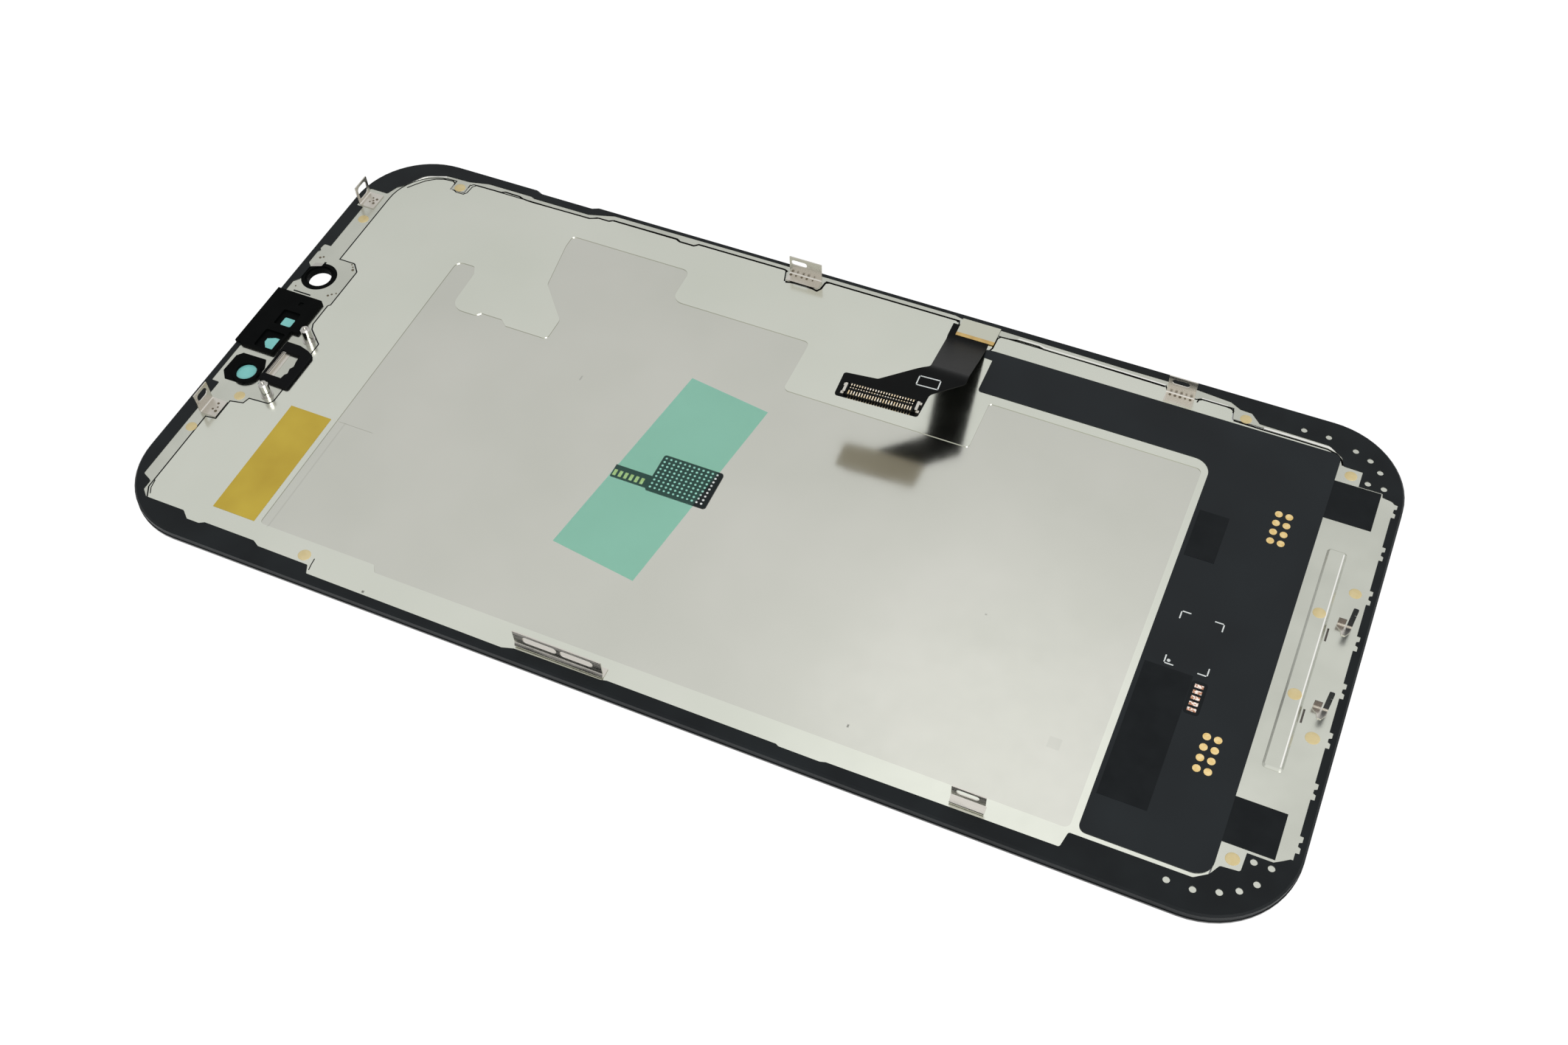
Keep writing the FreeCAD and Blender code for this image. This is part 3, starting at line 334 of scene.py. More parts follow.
# Each panel of the sky: its name, and where its glow starts and ends as the cosine of the angle from it.
skyPanels = (("pane", 0.985, 1.0), ("side", 0.35, 0.85), ("end", 0.85, 0.98))


def buildSky(settings):
    # The sky is plain white to the camera, and brighter in parts to what mirrors it.
    world = bpy.data.worlds.new("softStudio")
    bpy.context.scene.world = world
    world.use_nodes = True
    tree = world.node_tree
    tree.nodes.clear()
    rays = addNode(tree, "ShaderNodeLightPath")
    direction = addNode(tree, "ShaderNodeTexCoord").outputs["Generated"]
    height = addNode(tree, "ShaderNodeSeparateXYZ", {0: direction}).outputs[2]
    lift = addNode(tree, "ShaderNodeMapRange", {
        0: height, 1: settings["skyRiseFrom"], 2: settings["skyRiseTo"],
        3: settings["skyGlossyLow"], 4: settings["skyGlossyHigh"]})
    panels = lift.outputs[0]
    for panel, first, last in skyPanels:
        facing = addNode(tree, "ShaderNodeVectorMath", {
            0: direction, 1: settings[panel + "Direction"]}, operation="DOT_PRODUCT")
        glow = addNode(tree, "ShaderNodeMapRange", {
            0: facing.outputs["Value"], 1: first, 2: last, 4: settings[panel + "Strength"]},
            interpolation_type="SMOOTHSTEP")
        panels = addNode(tree, "ShaderNodeMath", {0: panels, 1: glow.outputs[0]}).outputs[0]
    glossy = addNode(tree, "ShaderNodeMix", {
        0: rays.outputs["Is Glossy Ray"], 2: settings["skyDiffuse"], 3: panels}, data_type="FLOAT")
    seen = addNode(tree, "ShaderNodeMath", {
        0: rays.outputs["Is Camera Ray"], 1: rays.outputs["Is Transmission Ray"]}, operation="MAXIMUM")
    strength = addNode(tree, "ShaderNodeMix", {
        0: seen.outputs[0], 2: glossy.outputs[0], 3: 1.0}, data_type="FLOAT")
    background = addNode(tree, "ShaderNodeBackground", {
        "Color": (1, 1, 1, 1), "Strength": strength.outputs[0]})
    addNode(tree, "ShaderNodeOutputWorld", {"Surface": background.outputs[0]})


def buildFloor(settings):
    half = settings["floorSize"] / 2
    mesh = bpy.data.meshes.new("floor")
    level = -settings["floorDrop"]
    corners = [(-half, -half, level), (half, -half, level), (half, half, level), (-half, half, level)]
    mesh.from_pydata(corners, [], [(0, 1, 2, 3)])
    floor = bpy.data.objects.new("floor", mesh)
    bpy.context.scene.collection.objects.link(floor)
    material = bpy.data.materials.new("paleFloor")
    material.use_nodes = True
    tree = material.node_tree
    tree.nodes.clear()
    rays = addNode(tree, "ShaderNodeLightPath")
    matt = addNode(tree, "ShaderNodeBsdfDiffuse", {"Color": linear(settings["floorColour"])})
    white = addNode(tree, "ShaderNodeEmission", {
        "Color": (1, 1, 1, 1), "Strength": settings["whiteStrength"]})
    seen = addNode(tree, "ShaderNodeMath", {
        0: rays.outputs["Is Camera Ray"], 1: rays.outputs["Is Glossy Ray"]}, operation="MAXIMUM")
    seenThrough = addNode(tree, "ShaderNodeMath", {
        0: seen.outputs[0], 1: rays.outputs["Is Transmission Ray"]}, operation="MAXIMUM")
    share = addNode(tree, "ShaderNodeMath", {
        0: seenThrough.outputs[0], 1: settings["ownWhite"]}, operation="MULTIPLY")
    mix = addNode(tree, "ShaderNodeMixShader", {0: share.outputs[0], 1: matt.outputs[0], 2: white.outputs[0]})
    # from below the floor is clear, so that the front glass can be looked at
    below = addNode(tree, "ShaderNodeNewGeometry").outputs["Backfacing"]
    clear = addNode(tree, "ShaderNodeBsdfTransparent", {"Color": (1, 1, 1, 1)})
    oneSided = addNode(tree, "ShaderNodeMixShader", {0: below, 1: mix.outputs[0], 2: clear.outputs[0]})
    addNode(tree, "ShaderNodeOutputMaterial", {"Surface": oneSided.outputs[0]})
    mesh.materials.append(material)


def buildKeyLight(settings):
    lamp = bpy.data.lights.new("softKey", "AREA")
    lamp.size = settings["keySize"]
    lamp.energy = settings["keyPower"]
    key = bpy.data.objects.new("softKey", lamp)
    bpy.context.scene.collection.objects.link(key)
    place = Vector(settings["keyPlace"])
    key.matrix_world = Matrix.Translation(place) @ place.to_track_quat("Z", "Y").to_matrix().to_4x4()


buildSky(studioSettings)
buildFloor(studioSettings)
buildKeyLight(studioSettings)
print("studio lit")


# Materials. Each is named for what the real piece is made of.
frontSettings = {
    "ink": "#050607",
    "display": "#101214",
    "displayMiddle": (1.2 * mm, 0, 0),
    "displayHalf": (73.5 * mm, 34.5 * mm, 1),
    "notchMiddle": (-74.5 * mm, -0.5 * mm, 0),
    "notchHalf": (6.5 * mm, 16.5 * mm, 1),
    "edge": 0.2 * mm,
    "cameraWindow": 2.9 * mm,  # radius left clear of ink
    "windowEdge": 0.02 * mm,
}


def coverGlassMaterial(settings):
    # Toughened glass with black ink behind it: a mirror-black front with a faintly greyer display field.
    material, tree, shader, position = startMaterial(
        "inkedCoverGlass", settings["ink"], 0.04, IOR=1.51, **{"Coat Weight": 0.3, "Coat Roughness": 0.02})
    field = boxMask(tree, position, settings["displayMiddle"], settings["displayHalf"], settings["edge"])
    notch = boxMask(tree, position, settings["notchMiddle"], settings["notchHalf"], settings["edge"])
    display = addNode(tree, "ShaderNodeMath", {0: field, 1: notch}, operation="SUBTRACT", use_clamp=True)
    tone = mixColours(tree, display.outputs[0], linear(settings["ink"]), linear(settings["display"]))
    tree.links.new(tone, shader.inputs["Base Color"])

    # no ink over the front camera, so the floor shows through
    windowMiddle = middleOf(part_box("camera_ring"))
    window = discMask(tree, position, windowMiddle, settings["cameraWindow"], settings["windowEdge"])
    clear = addNode(tree, "ShaderNodeBsdfTransparent", {"Color": (1, 1, 1, 1)})
    mix = addNode(tree, "ShaderNodeMixShader", {0: window, 1: shader.outputs["BSDF"], 2: clear.outputs[0]})
    tree.links.new(mix.outputs[0], surfaceSocket(tree))
    return material


def mouldedBlackMaterial():
    # Glass-filled nylon, injection moulded: near black, a dull sheen and a fine spark-eroded grain.
    material, tree, shader, position = startMaterial(
        "mouldedNylon", "#1A1D1F", 0.42, IOR=1.53, **{"Specular IOR Level": 0.12})
    paintClouds(tree, shader, position, 6 * mm, "#141719", "#1B1F21", low=0.35)
    addGrain(tree, shader, position, 0.12 * mm, 0.004 * mm)
    return material


# Handling marks on the plate: middle x and y, half length, half width in mm, and how dark.
plateMarks = [
    (-39.0, -36.0, 0.08, 0.08, 0.9), (25.2, -30.2, 0.03, 0.12, 0.8), (48.5, -23.0, 0.7, 0.7, 0.07),
    (-56.2, -22.5, 0.02, 9.5, 0.12), (-30.0, 6.5, 0.02, 0.3, 0.3), (35.0, -9.0, 0.04, 0.02, 0.4),
]


# Depths below the margin at which the recess's tone is full, and at which it ends.
recessDepths = (0.08 * mm, 0.02 * mm)


def rolledSteelMaterial():
    # Cold-rolled stainless sheet, bead-blasted: a pale satin mirror, a little darker down in the recess.
    material, tree, shader, position = startMaterial("satinShieldSteel", "#CDD0C5", 0.15, Metallic=1.0)
    height = addNode(tree, "ShaderNodeSeparateXYZ", {0: position}).outputs[2]
    raised = addNode(tree, "ShaderNodeMapRange", {
        0: height, 1: plateTop - recessDepths[0], 2: plateTop - recessDepths[1]})
    clouds = spreadNoise(tree, position, 20 * mm, 0.3, 0.75, 3.0)
    recessTone = mixColours(tree, clouds, linear("#C6C7BE"), linear("#CDCDC5"))
    marginTone = mixColours(tree, clouds, linear("#D0D3C8"), linear("#D6D8CE"))
    tone = mixColours(tree, raised.outputs[0], recessTone, marginTone)
    for x, y, halfLength, halfWidth, depth in plateMarks:
        mark = boxMask(tree, position, (x * mm, y * mm, 0), (halfLength * mm, halfWidth * mm, 1), 0.15 * mm)
        share = addNode(tree, "ShaderNodeMath", {0: mark, 1: depth}, operation="MULTIPLY")
        tone = mixColours(tree, share.outputs[0], tone, linear("#5E5E58"))
    tree.links.new(tone, shader.inputs["Base Color"])
    rough = spreadNoise(tree, position, 3 * mm, 0.2, 0.8, 4.0)
    spread = addNode(tree, "ShaderNodeMapRange", {0: rough, 3: 0.14, 4: 0.2})
    tree.links.new(spread.outputs[0], shader.inputs["Roughness"])
    addGrain(tree, shader, position, 0.35 * mm, 0.0008 * mm)
    return material


def surroundSteelMaterial():
    # The same satin sheet as the shield, a shade duller than the shield's margin.
    material, tree, shader, position = startMaterial("satinSurroundSteel", "#D2D4CA", 0.2, Metallic=1.0)
    paintClouds(tree, shader, position, 9 * mm, "#BFC1B7", "#CDCFC5", high=0.75, detail=3.0)
    addGrain(tree, shader, position, 0.4 * mm, 0.0012 * mm)
    return material


# Where painted shade darkens the clips: past these x places, and between these heights above the plate.
hookShade = {"hooksFrom": 75 * mm, "bladesFrom": 76.15 * mm, "low": 0.2 * mm, "high": 0.5 * mm}


def clipSteelMaterial(settings):
    # Nickel-plated spring steel, bent cold: bright and slightly streaked. The upright parts of the hooks at
    # the driver end carry painted shade and reflection: brown, and nearly black on their outer blades.
    material, tree, shader, position = startMaterial("nickelSpringSteel", "#D6D2CA", 0.25, Metallic=1.0)
    streaks = addNode(tree, "ShaderNodeMapping", {"Vector": position, "Scale": (300, 300, 4000)})
    noise = addNode(tree, "ShaderNodeTexNoise", {"Vector": streaks.outputs[0], "Scale": 1.0, "Detail": 3.0})
    spread = addNode(tree, "ShaderNodeMapRange", {0: noise.outputs["Fac"], 1: 0.3, 2: 0.7, 3: 0.18, 4: 0.36})
    tree.links.new(spread.outputs[0], shader.inputs["Roughness"])
    parts = addNode(tree, "ShaderNodeSeparateXYZ", {0: position})
    onHooks = addNode(tree, "ShaderNodeMath", {
        0: parts.outputs[0], 1: settings["hooksFrom"]}, operation="GREATER_THAN")
    standing = addNode(tree, "ShaderNodeMapRange", {
        0: parts.outputs[2], 1: plateTop + settings["low"], 2: plateTop + settings["high"]})
    onBlade = addNode(tree, "ShaderNodeMath", {
        0: parts.outputs[0], 1: settings["bladesFrom"]}, operation="GREATER_THAN")
    # painted shade and dark reflection: brown on the hooks, nearly black on their blades
    darkTone = mixColours(tree, onBlade.outputs[0], linear("#6E6660"), linear("#2A2C2F"))
    share = addNode(tree, "ShaderNodeMath", {
        0: onHooks.outputs[0], 1: standing.outputs[0]}, operation="MULTIPLY")
    tone = mixColours(tree, share.outputs[0], linear("#D0CCC4"), darkTone)
    tree.links.new(tone, shader.inputs["Base Color"])
    addGrain(tree, shader, position, 0.3 * mm, 0.002 * mm)
    return material


def postSteelMaterial():
    # Turned and polished stainless pin: nearly a mirror.
    material, tree, shader, position = startMaterial("polishedPinSteel", "#B9B7B2", 0.16, Metallic=1.0)
    addGrain(tree, shader, position, 0.25 * mm, 0.0015 * mm)
    return material


def sensorBlackMaterial():
    # Black polycarbonate, moulded matt so that it scatters no light into the cameras.
    material, tree, shader, position = startMaterial(
        "mattPolycarbonate", "#0A0C0C", 0.6, IOR=1.58, **{"Specular IOR Level": 0.03})
    paintClouds(tree, shader, position, 1.5 * mm, "#030404", "#060707")
    addGrain(tree, shader, position, 0.08 * mm, 0.003 * mm)
    return material


def tealFilterMaterial():
    # Interference-coated filter glass: an even milky teal.
    material, tree, shader, position = startMaterial("tealFilterGlass", "#7DCDC8", 0.18, IOR=1.52)
    paintClouds(tree, shader, position, 1.2 * mm, "#78C8C3", "#86D3CE", low=0.2, high=0.8)
    return material


def gasketFoamMaterial():
    # Closed-cell foam, die cut: soft black with open pores on its cut edges.
    material, tree, shader, position = startMaterial(
        "dieCutFoam", "#0C0D0E", 0.9, **{"Specular IOR Level": 0.1})
    addGrain(tree, shader, position, 0.15 * mm, 0.02 * mm, 5.0)
    return material


def filmBlackMaterial():
    # Black polyimide coverlay over copper: smooth, with the tracks standing out faintly beneath it.
    material, tree, shader, position = startMaterial(
        "blackCoverlay", "#1C2023", 0.34, IOR=1.6, **{"Specular IOR Level": 0.14})
    paintClouds(tree, shader, position, 12 * mm, "#15191C", "#1B2023")
    trackPitch = 0.6 * mm
    tracks = addNode(tree, "ShaderNodeTexWave", {
        "Vector": position, "Scale": 1 / trackPitch / 20, "Distortion": 0.0}, bands_direction="X")
    lines = addNode(tree, "ShaderNodeMapRange", {0: tracks.outputs["Fac"], 1: 0.75, 2: 0.95})
    bump = addNode(tree, "ShaderNodeBump", {
        "Height": lines.outputs[0], "Strength": 0.5, "Distance": 0.006 * mm})
    tree.links.new(bump.outputs["Normal"], shader.inputs["Normal"])
    return material


def labelBlackMaterial():
    # Matt black insulating tape: darker and duller than the film under it.
    material, tree, shader, position = startMaterial(
        "mattInsulatingTape", "#15181A", 0.5, **{"Specular IOR Level": 0.1})
    paintClouds(tree, shader, position, 3 * mm, "#131618", "#191C1E")
    addGrain(tree, shader, position, 0.5 * mm, 0.004 * mm)
    return material


def goldMaterial():
    # Immersion gold on copper: warm, bright and a little grainy. The solder pads are flecked with pale tin.
    material, tree, shader, position = startMaterial("immersionGold", "#EBCD8C", 0.28, Metallic=1.0)
    patches = spreadNoise(tree, position, 0.6 * mm, 0.3, 0.7)
    tone = mixColours(tree, patches, linear("#E0BE78"), linear("#F3DBA4"))
    aroundPads = (1.5 * mm, 4 * mm, 1 * mm)
    onPads = boxMask(tree, position, middleOf(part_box("solder_pads")), aroundPads, toneEdge)
    flecks = spreadNoise(tree, position, 0.3 * mm, 0.45, 0.55)
    tinned = mixColours(tree, flecks, linear("#B98468"), linear("#FFF4EA"))
    tone = mixColours(tree, onPads, tone, tinned)
    tree.links.new(tone, shader.inputs["Base Color"])
    addGrain(tree, shader, position, 0.2 * mm, 0.002 * mm)
    return material


def contactMaterial():
    # Contact tips, gold flashed over nickel: paler than the pads, with a painted reflection of the white sky.
    material, tree, shader, position = startMaterial("goldFlashedTips", "#F8E9CF", 0.22, Metallic=1.0)
    paintClouds(tree, shader, position, 0.4 * mm, "#EBCF9C", "#FFFAF0")
    return material


def flexBlackMaterial():
    # Two-layer flexible circuit under black coverlay: near black, with a fawn stiffener below the connector.
    material, tree, shader, position = startMaterial(
        "flexCircuit", "#0F1111", 0.45, IOR=1.6, **{"Specular IOR Level": 0.06})
    patches = spreadNoise(tree, position, 4 * mm, 0.3, 0.7)
    tone = mixColours(tree, patches, linear("#060707"), linear("#0C0D0D"))
    normal = addNode(tree, "ShaderNodeNewGeometry").outputs["Normal"]
    upward = addNode(tree, "ShaderNodeSeparateXYZ", {0: normal}).outputs[2]
    below = addNode(tree, "ShaderNodeMath", {0: upward, 1: -0.9}, operation="LESS_THAN")
    stiffenerMiddle, stiffenerHalf = (12 * mm, 13.3 * mm, 0), (6.2 * mm, 2.3 * mm, 1)
    boardEnd = boxMask(tree, position, stiffenerMiddle, stiffenerHalf, toneEdge)
    stiffener = addNode(tree, "ShaderNodeMath", {0: below.outputs[0], 1: boardEnd}, operation="MULTIPLY")
    tone = mixColours(tree, stiffener.outputs[0], tone, linear("#CFC4B8"))
    tree.links.new(tone, shader.inputs["Base Color"])
    addGrain(tree, shader, position, 0.8 * mm, 0.006 * mm)
    return material


def connectorBlackMaterial():
    # Liquid-crystal polymer, moulded: black with a slight flow sheen.
    material, tree, shader, position = startMaterial(
        "mouldedPolymer", "#0D0E0E", 0.38, **{"Specular IOR Level": 0.15})
    addGrain(tree, shader, position, 0.1 * mm, 0.003 * mm)
    return material


def polyimideMaterial():
    # Bare polyimide tape: glossy amber, pale grey at the flap's root, and dark brown painted shade beneath
    # the slits.
    material, tree, shader, position = startMaterial("amberPolyimide", "#C69335", 0.2, IOR=1.7)
    patches = spreadNoise(tree, position, 2 * mm, 0.3, 0.7)
    amber = mixColours(tree, patches, linear("#B08A42"), linear("#D6B468"))
    rootMiddle, rootHalf = (18.1 * mm, 35.4 * mm, 0), (3 * mm, 1.35 * mm, 1)
    rootEnd = boxMask(tree, position, rootMiddle, rootHalf, toneEdge)
    tone = mixColours(tree, rootEnd, amber, linear("#C3C4B4"))
    # painted shade where the tape lies under the frame's slits
    slitsMiddle, slitsHalf = (75 * mm, 0, 0), (6 * mm, 20 * mm, 1)
    slitShade = boxMask(tree, position, slitsMiddle, slitsHalf, toneEdge)
    tone = mixColours(tree, slitShade, tone, linear("#3A2E22"))
    tree.links.new(tone, shader.inputs["Base Color"])
    return material


def tapeMaterial(name, dark, light, creaseSize):
    # Polyester tape pressed down by hand: satin, with shallow wrinkles.
    material, tree, shader, position = startMaterial(name, light, 0.32, IOR=1.55)
    paintClouds(tree, shader, position, creaseSize * 2, dark, light, detail=3.0)
    addGrain(tree, shader, position, creaseSize, 0.04 * mm, 2.0)
    return material


def greenTapeMaterial():
    # Thin green polyester tape: half clear, so the board and its white dots show through it.
    material, tree, shader, position = startMaterial("greenPolyesterTape", "#95CCBC", 0.3, IOR=1.5)
    paintClouds(tree, shader, position, 9 * mm, "#8FC8B6", "#9BD2C2", detail=3.0)
    addGrain(tree, shader, position, 4 * mm, 0.02 * mm, 2.0)
    letThrough(tree, shader, 0.9, (0.7, 0.98, 0.91, 1.0))
    return material


def boardBlackMaterial():
    # Black solder mask on a thin board: smooth with a green-grey cast.
    material, tree, shader, position = startMaterial(
        "blackSolderMask", "#161D1E", 0.35, **{"Specular IOR Level": 0.15})
    addGrain(tree, shader, position, 0.6 * mm, 0.004 * mm)
    return material


def printWhiteMaterial():
    # White screen-printed ink: chalky, slightly uneven.
    material, tree, shader, position = startMaterial("screenPrintInk", "#D9DEDC", 0.6)
    paintClouds(tree, shader, position, 0.4 * mm, "#C6CCCA", "#E6EAE8")
    return material


def glueMaterial():
    # Cured epoxy: honey-coloured, satin, and clear enough for the metal to show through.
    material, tree, shader, position = startMaterial(
        "curedEpoxy", "#D9BD78", 0.3, IOR=1.5, **{"Specular IOR Level": 0.3})
    paintClouds(tree, shader, position, 1.2 * mm, "#D3BC82", "#E0CD9C")
    letThrough(tree, shader, 0.3, (0.95, 0.85, 0.6, 1.0))
    return material


def plainLayerMaterial(name, colour, roughness, metallic=0.0):
    # A hidden layer of the display: an even sheet with faint clouding.
    material, tree, shader, position = startMaterial(name, colour, roughness, Metallic=metallic)
    patches = spreadNoise(tree, position, 20 * mm, 0.3, 0.7)
    low = tuple(c * 0.93 for c in linear(colour)[:3]) + (1.0,)
    tone = mixColours(tree, patches, low, linear(colour))
    tree.links.new(tone, shader.inputs["Base Color"])
    return material


materials = {
    "cover_glass": coverGlassMaterial(frontSettings),
    "frame_black": mouldedBlackMaterial(),
    "surround_steel": surroundSteelMaterial(),
    "shield_steel": rolledSteelMaterial(),
    "clip_steel": clipSteelMaterial(hookShade),
    "post_steel": postSteelMaterial(),
    "sensor_black": sensorBlackMaterial(),
    "teal_filter": tealFilterMaterial(),
    "gasket_foam": gasketFoamMaterial(),
    "film_black": filmBlackMaterial(),
    "label_black": labelBlackMaterial(),
    "pad_gold": goldMaterial(),
    "flex_black": flexBlackMaterial(),
    "connector_black": connectorBlackMaterial(),
    "polyimide_gold": polyimideMaterial(),
    "tape_yellow": tapeMaterial("yellowPolyesterTape", "#B5981C", "#C6AC30", 4 * mm),
    "tape_green": greenTapeMaterial(),
    "board_black": boardBlackMaterial(),
    "print_white": printWhiteMaterial(),
    "glue_amber": glueMaterial(),
    "clear_adhesive": plainLayerMaterial("opticalGel", "#E8EAEA", 0.1),
    "panel_glass": plainLayerMaterial("thinPanelGlass", "#C9D0CE", 0.05),
    "optical_film": plainLayerMaterial("opticalFilm", "#E2E2E4", 0.3),
    "silicon": plainLayerMaterial("barePolishedSilicon", "#3A3B40", 0.15, 0.6),
    "led_white": plainLayerMaterial("ledStrip", "#E6DFB8", 0.5),
}
for entry in frame["record"]["subparts"]:
    node = frame["nodes"][entry["node"]]
    node.data.materials.clear()
    node.data.materials.append(materials[entry["material_slot"]])
print("materials made:", len(materials))


# Green tape, draped over the touch board.
greenSettings = {
    "nearLeft": (-20.4, -19.6),
    "nearRight": (-8.0, -21.3),
    "farRight": (-3.4, 10.6),
    "farLeft": (-15.6, 12.3),
    "columns": 70,
    "rows": 180,
    "thickness": 0.05 * mm,
    "lift": 0.02 * mm,
    "shoulder": 0.35 * mm,
    "creases": ((6.2, 0.9), (2.4, 0.6)),  # place along the tape in mm, and share of the crease depth
    "creaseDepth": 0.03 * mm,
    "creaseWidth": 0.22,
    "creaseSlant": 0.15,
    "bubble": (-11.2, -9.6, 1.5, 0.09),  # place, radius and rise in mm
    "bubbleSquash": 1.4,
    "neck": -13.1 * mm,  # where the touch board narrows to its tail
    "tailNear": -7.3 * mm,
    "tailFar": -5.3 * mm,
}


def boardReach(x, y, settings):
    # How far a place lies outside the touch board, in metres.
    head = (settings["neck"], boardLow[1], boardHigh[0], boardHigh[1])
    tail = (boardLow[0], settings["tailNear"], settings["neck"], settings["tailFar"])
    reaches = []
    for left, near, right, far in (head, tail):
        dx = max(left - x, 0, x - right)
        dy = max(near - y, 0, y - far)
        reaches.append(math.hypot(dx, dy))
    return min(reaches)


def greenHeight(x, y, settings):
    outside = min(boardReach(x, y, settings) / settings["shoulder"], 1)
    rise = (1 - outside * outside * (3 - 2 * outside)) * (dotsTop - boardLow[2])
    along = y / mm + x / mm * settings["creaseSlant"]
    crease = settings["creaseDepth"] * sum(
        share * math.exp(-((along - place) / settings["creaseWidth"]) ** 2)
        for place, share in settings["creases"])
    bubbleX, bubbleY, radius, height = settings["bubble"]
    distance = math.hypot(x / mm - bubbleX, (y / mm - bubbleY) * settings["bubbleSquash"]) / radius
    bubble = height * mm * max(0, 1 - distance * distance) ** 2
    return boardLow[2] + settings["lift"] + rise + crease + bubble


def buildGreenTape(settings):
    columns, rows = settings["columns"], settings["rows"]
    points = []
    for row in range(rows + 1):
        for column in range(columns + 1):
            u, v = column / columns, row / rows
            near = Vector(settings["nearLeft"]).lerp(Vector(settings["nearRight"]), u)
            far = Vector(settings["farLeft"]).lerp(Vector(settings["farRight"]), u)
            x, y = near.lerp(far, v) * mm
            points.append((x, y, greenHeight(x, y, settings)))
    width = columns + 1
    firsts = [row * width + column for row in range(rows) for column in range(columns)]
    faces = [(first, first + 1, first + 1 + width, first + width) for first in firsts]
    tape = makePiece("drapedGreenTape", points, faces, materials["tape_green"])
    shell = tape.modifiers.new("thickness", "SOLIDIFY")
    shell.thickness = settings["thickness"]
    shell.offset = 1.0
    finishPiece(tape, "tape_green", "green_tape")


buildGreenTape(greenSettings)
print("green tape draped")


# White dots printed on the touch board.
dotSettings = {
    "first": (-12.6, -7.0),
    "columns": 12,
    "rows": 9,
    "pitchX": 0.68,
    "pitchY": 0.635,
    "radius": 0.16 * mm,
    "thickness": 0.02 * mm,
}


def buildBoardDots(settings):
    firstX, firstY = settings["first"]
    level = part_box("touch_board_dots")[0][2] + settings["thickness"] / 2
    places = [((firstX + column * settings["pitchX"]) * mm, (firstY + row * settings["pitchY"]) * mm, level)
              for row in range(settings["rows"]) for column in range(settings["columns"])]
    dots = repeatForm("printedDots", "Disc", places, materials["print_white"],
                      length=settings["radius"], height=settings["thickness"], spread=0.06)
    finishPiece(dots, "print_white", "touch_board_dots")


buildBoardDots(dotSettings)


# Spot welds: small dark pits where clips and plates are joined to the surround.
weldSettings = {
    "onPlate": [
        (-76.9, 12.8), (-76.5, 13.1), (-71.7, 13.3), (-71.3, 12.9), (-71.0, 12.4), (-70.7, 7.4), (-71.2, 7.0),
        (-71.6, 6.6), (-77.1, 6.5)],
    "onFeet": [
        (-10.8, 35.5), (-10.0, 35.5), (-9.1, 35.5), (-8.3, 35.5), (-7.4, 35.5), (46.0, 34.0), (46.7, 34.0),
        (47.4, 34.0), (48.1, 34.0), (48.8, 34.0), (-76.2, 26.6), (-75.9, 26.1), (-75.6, 25.6), (-76.3, 25.7),
        (-75.5, 26.5), (-74.4, -16.8), (-74.1, -17.4), (-74.6, -17.9), (-74.0, -18.1), (-15.0, -35.0),
        (-13.8, -35.0), (-12.6, -35.0), (-11.4, -35.0), (-9.6, -35.0), (-8.4, -35.0), (-7.2, -35.0)],
    "radius": 0.17 * mm,
    "thickness": 0.02 * mm,
    "footGauge": 0.15 * mm,
}


def weldMaterial():
    # Heat-tinted weld pit: dull brown against the bright sheet.
    return startMaterial("heatTintedWeld", "#6B6252", 0.6, Metallic=0.6)[0]


def buildWelds(settings):
    footTop = plateTop + settings["footGauge"]
    half = settings["thickness"] / 2
    places = [(x * mm, y * mm, plateTop + half) for x, y in settings["onPlate"]]
    places += [(x * mm, y * mm, footTop + half) for x, y in settings["onFeet"]]
    welds = repeatForm("spotWelds", "Disc", places, weldMaterial(),
                       length=settings["radius"], height=settings["thickness"], spread=0.3)
    finishPiece(welds, "clip_steel")


buildWelds(weldSettings)
print("dots and welds placed")


# Display connector: an open plug on the flap, a few degrees askew. Sizes in mm.
plugSettings = {
    "middle": (12.25, 12.62),
    "turn": math.radians(3.0),
    "length": 9.7,
    "depth": 1.9,
    "height": 0.62,
    "wall": 0.25,
    "floor": 0.25,
    "tongueWidth": 0.44,
    "tongueInset": 0.8,  # how far the tongue stops short of each end
    "tabGap": 0.12,  # the end clips: their place past the plug's end, and half sizes of plate and feet
    "tabHalf": (0.18, 0.75),
    "tabRise": 0.02,
    "footStep": 0.2,
    "footPlace": 0.7,
    "footHalf": (0.2, 0.2),
    "footHeight": 0.3,
    "contacts": 24,
    "pitch": 0.37,
    "contactWidth": 0.15,
    "contactGauge": 0.07,
    "tailLift": 0.05,
    # each row of contacts: its name, its place across the plug, its length, and whether it lies at the top
    "rows": [("farTips", 0.62, 0.34, True), ("nearTips", -0.7, 0.62, True), ("tongueTips", 0.1, 0.16, True),
             ("solderTails", -1.16, 0.4, False)],
}


def turned(settings, x, y):
    # A place given along and across the plug, as plan millimetres.
    cosine, sine = math.cos(settings["turn"]), math.sin(settings["turn"])
    return (settings["middle"][0] + x * cosine - y * sine, settings["middle"][1] + x * sine + y * cosine)


def turnedBox(settings, x, y, halfLength, halfWidth):
    signs = ((-1, -1), (1, -1), (1, 1), (-1, 1))
    return [turned(settings, x + halfLength * i, y + halfWidth * j) for i, j in signs]


def plugLevels(settings):
    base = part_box("connector_housing")[0][2]
    return base, base + settings["height"] * mm


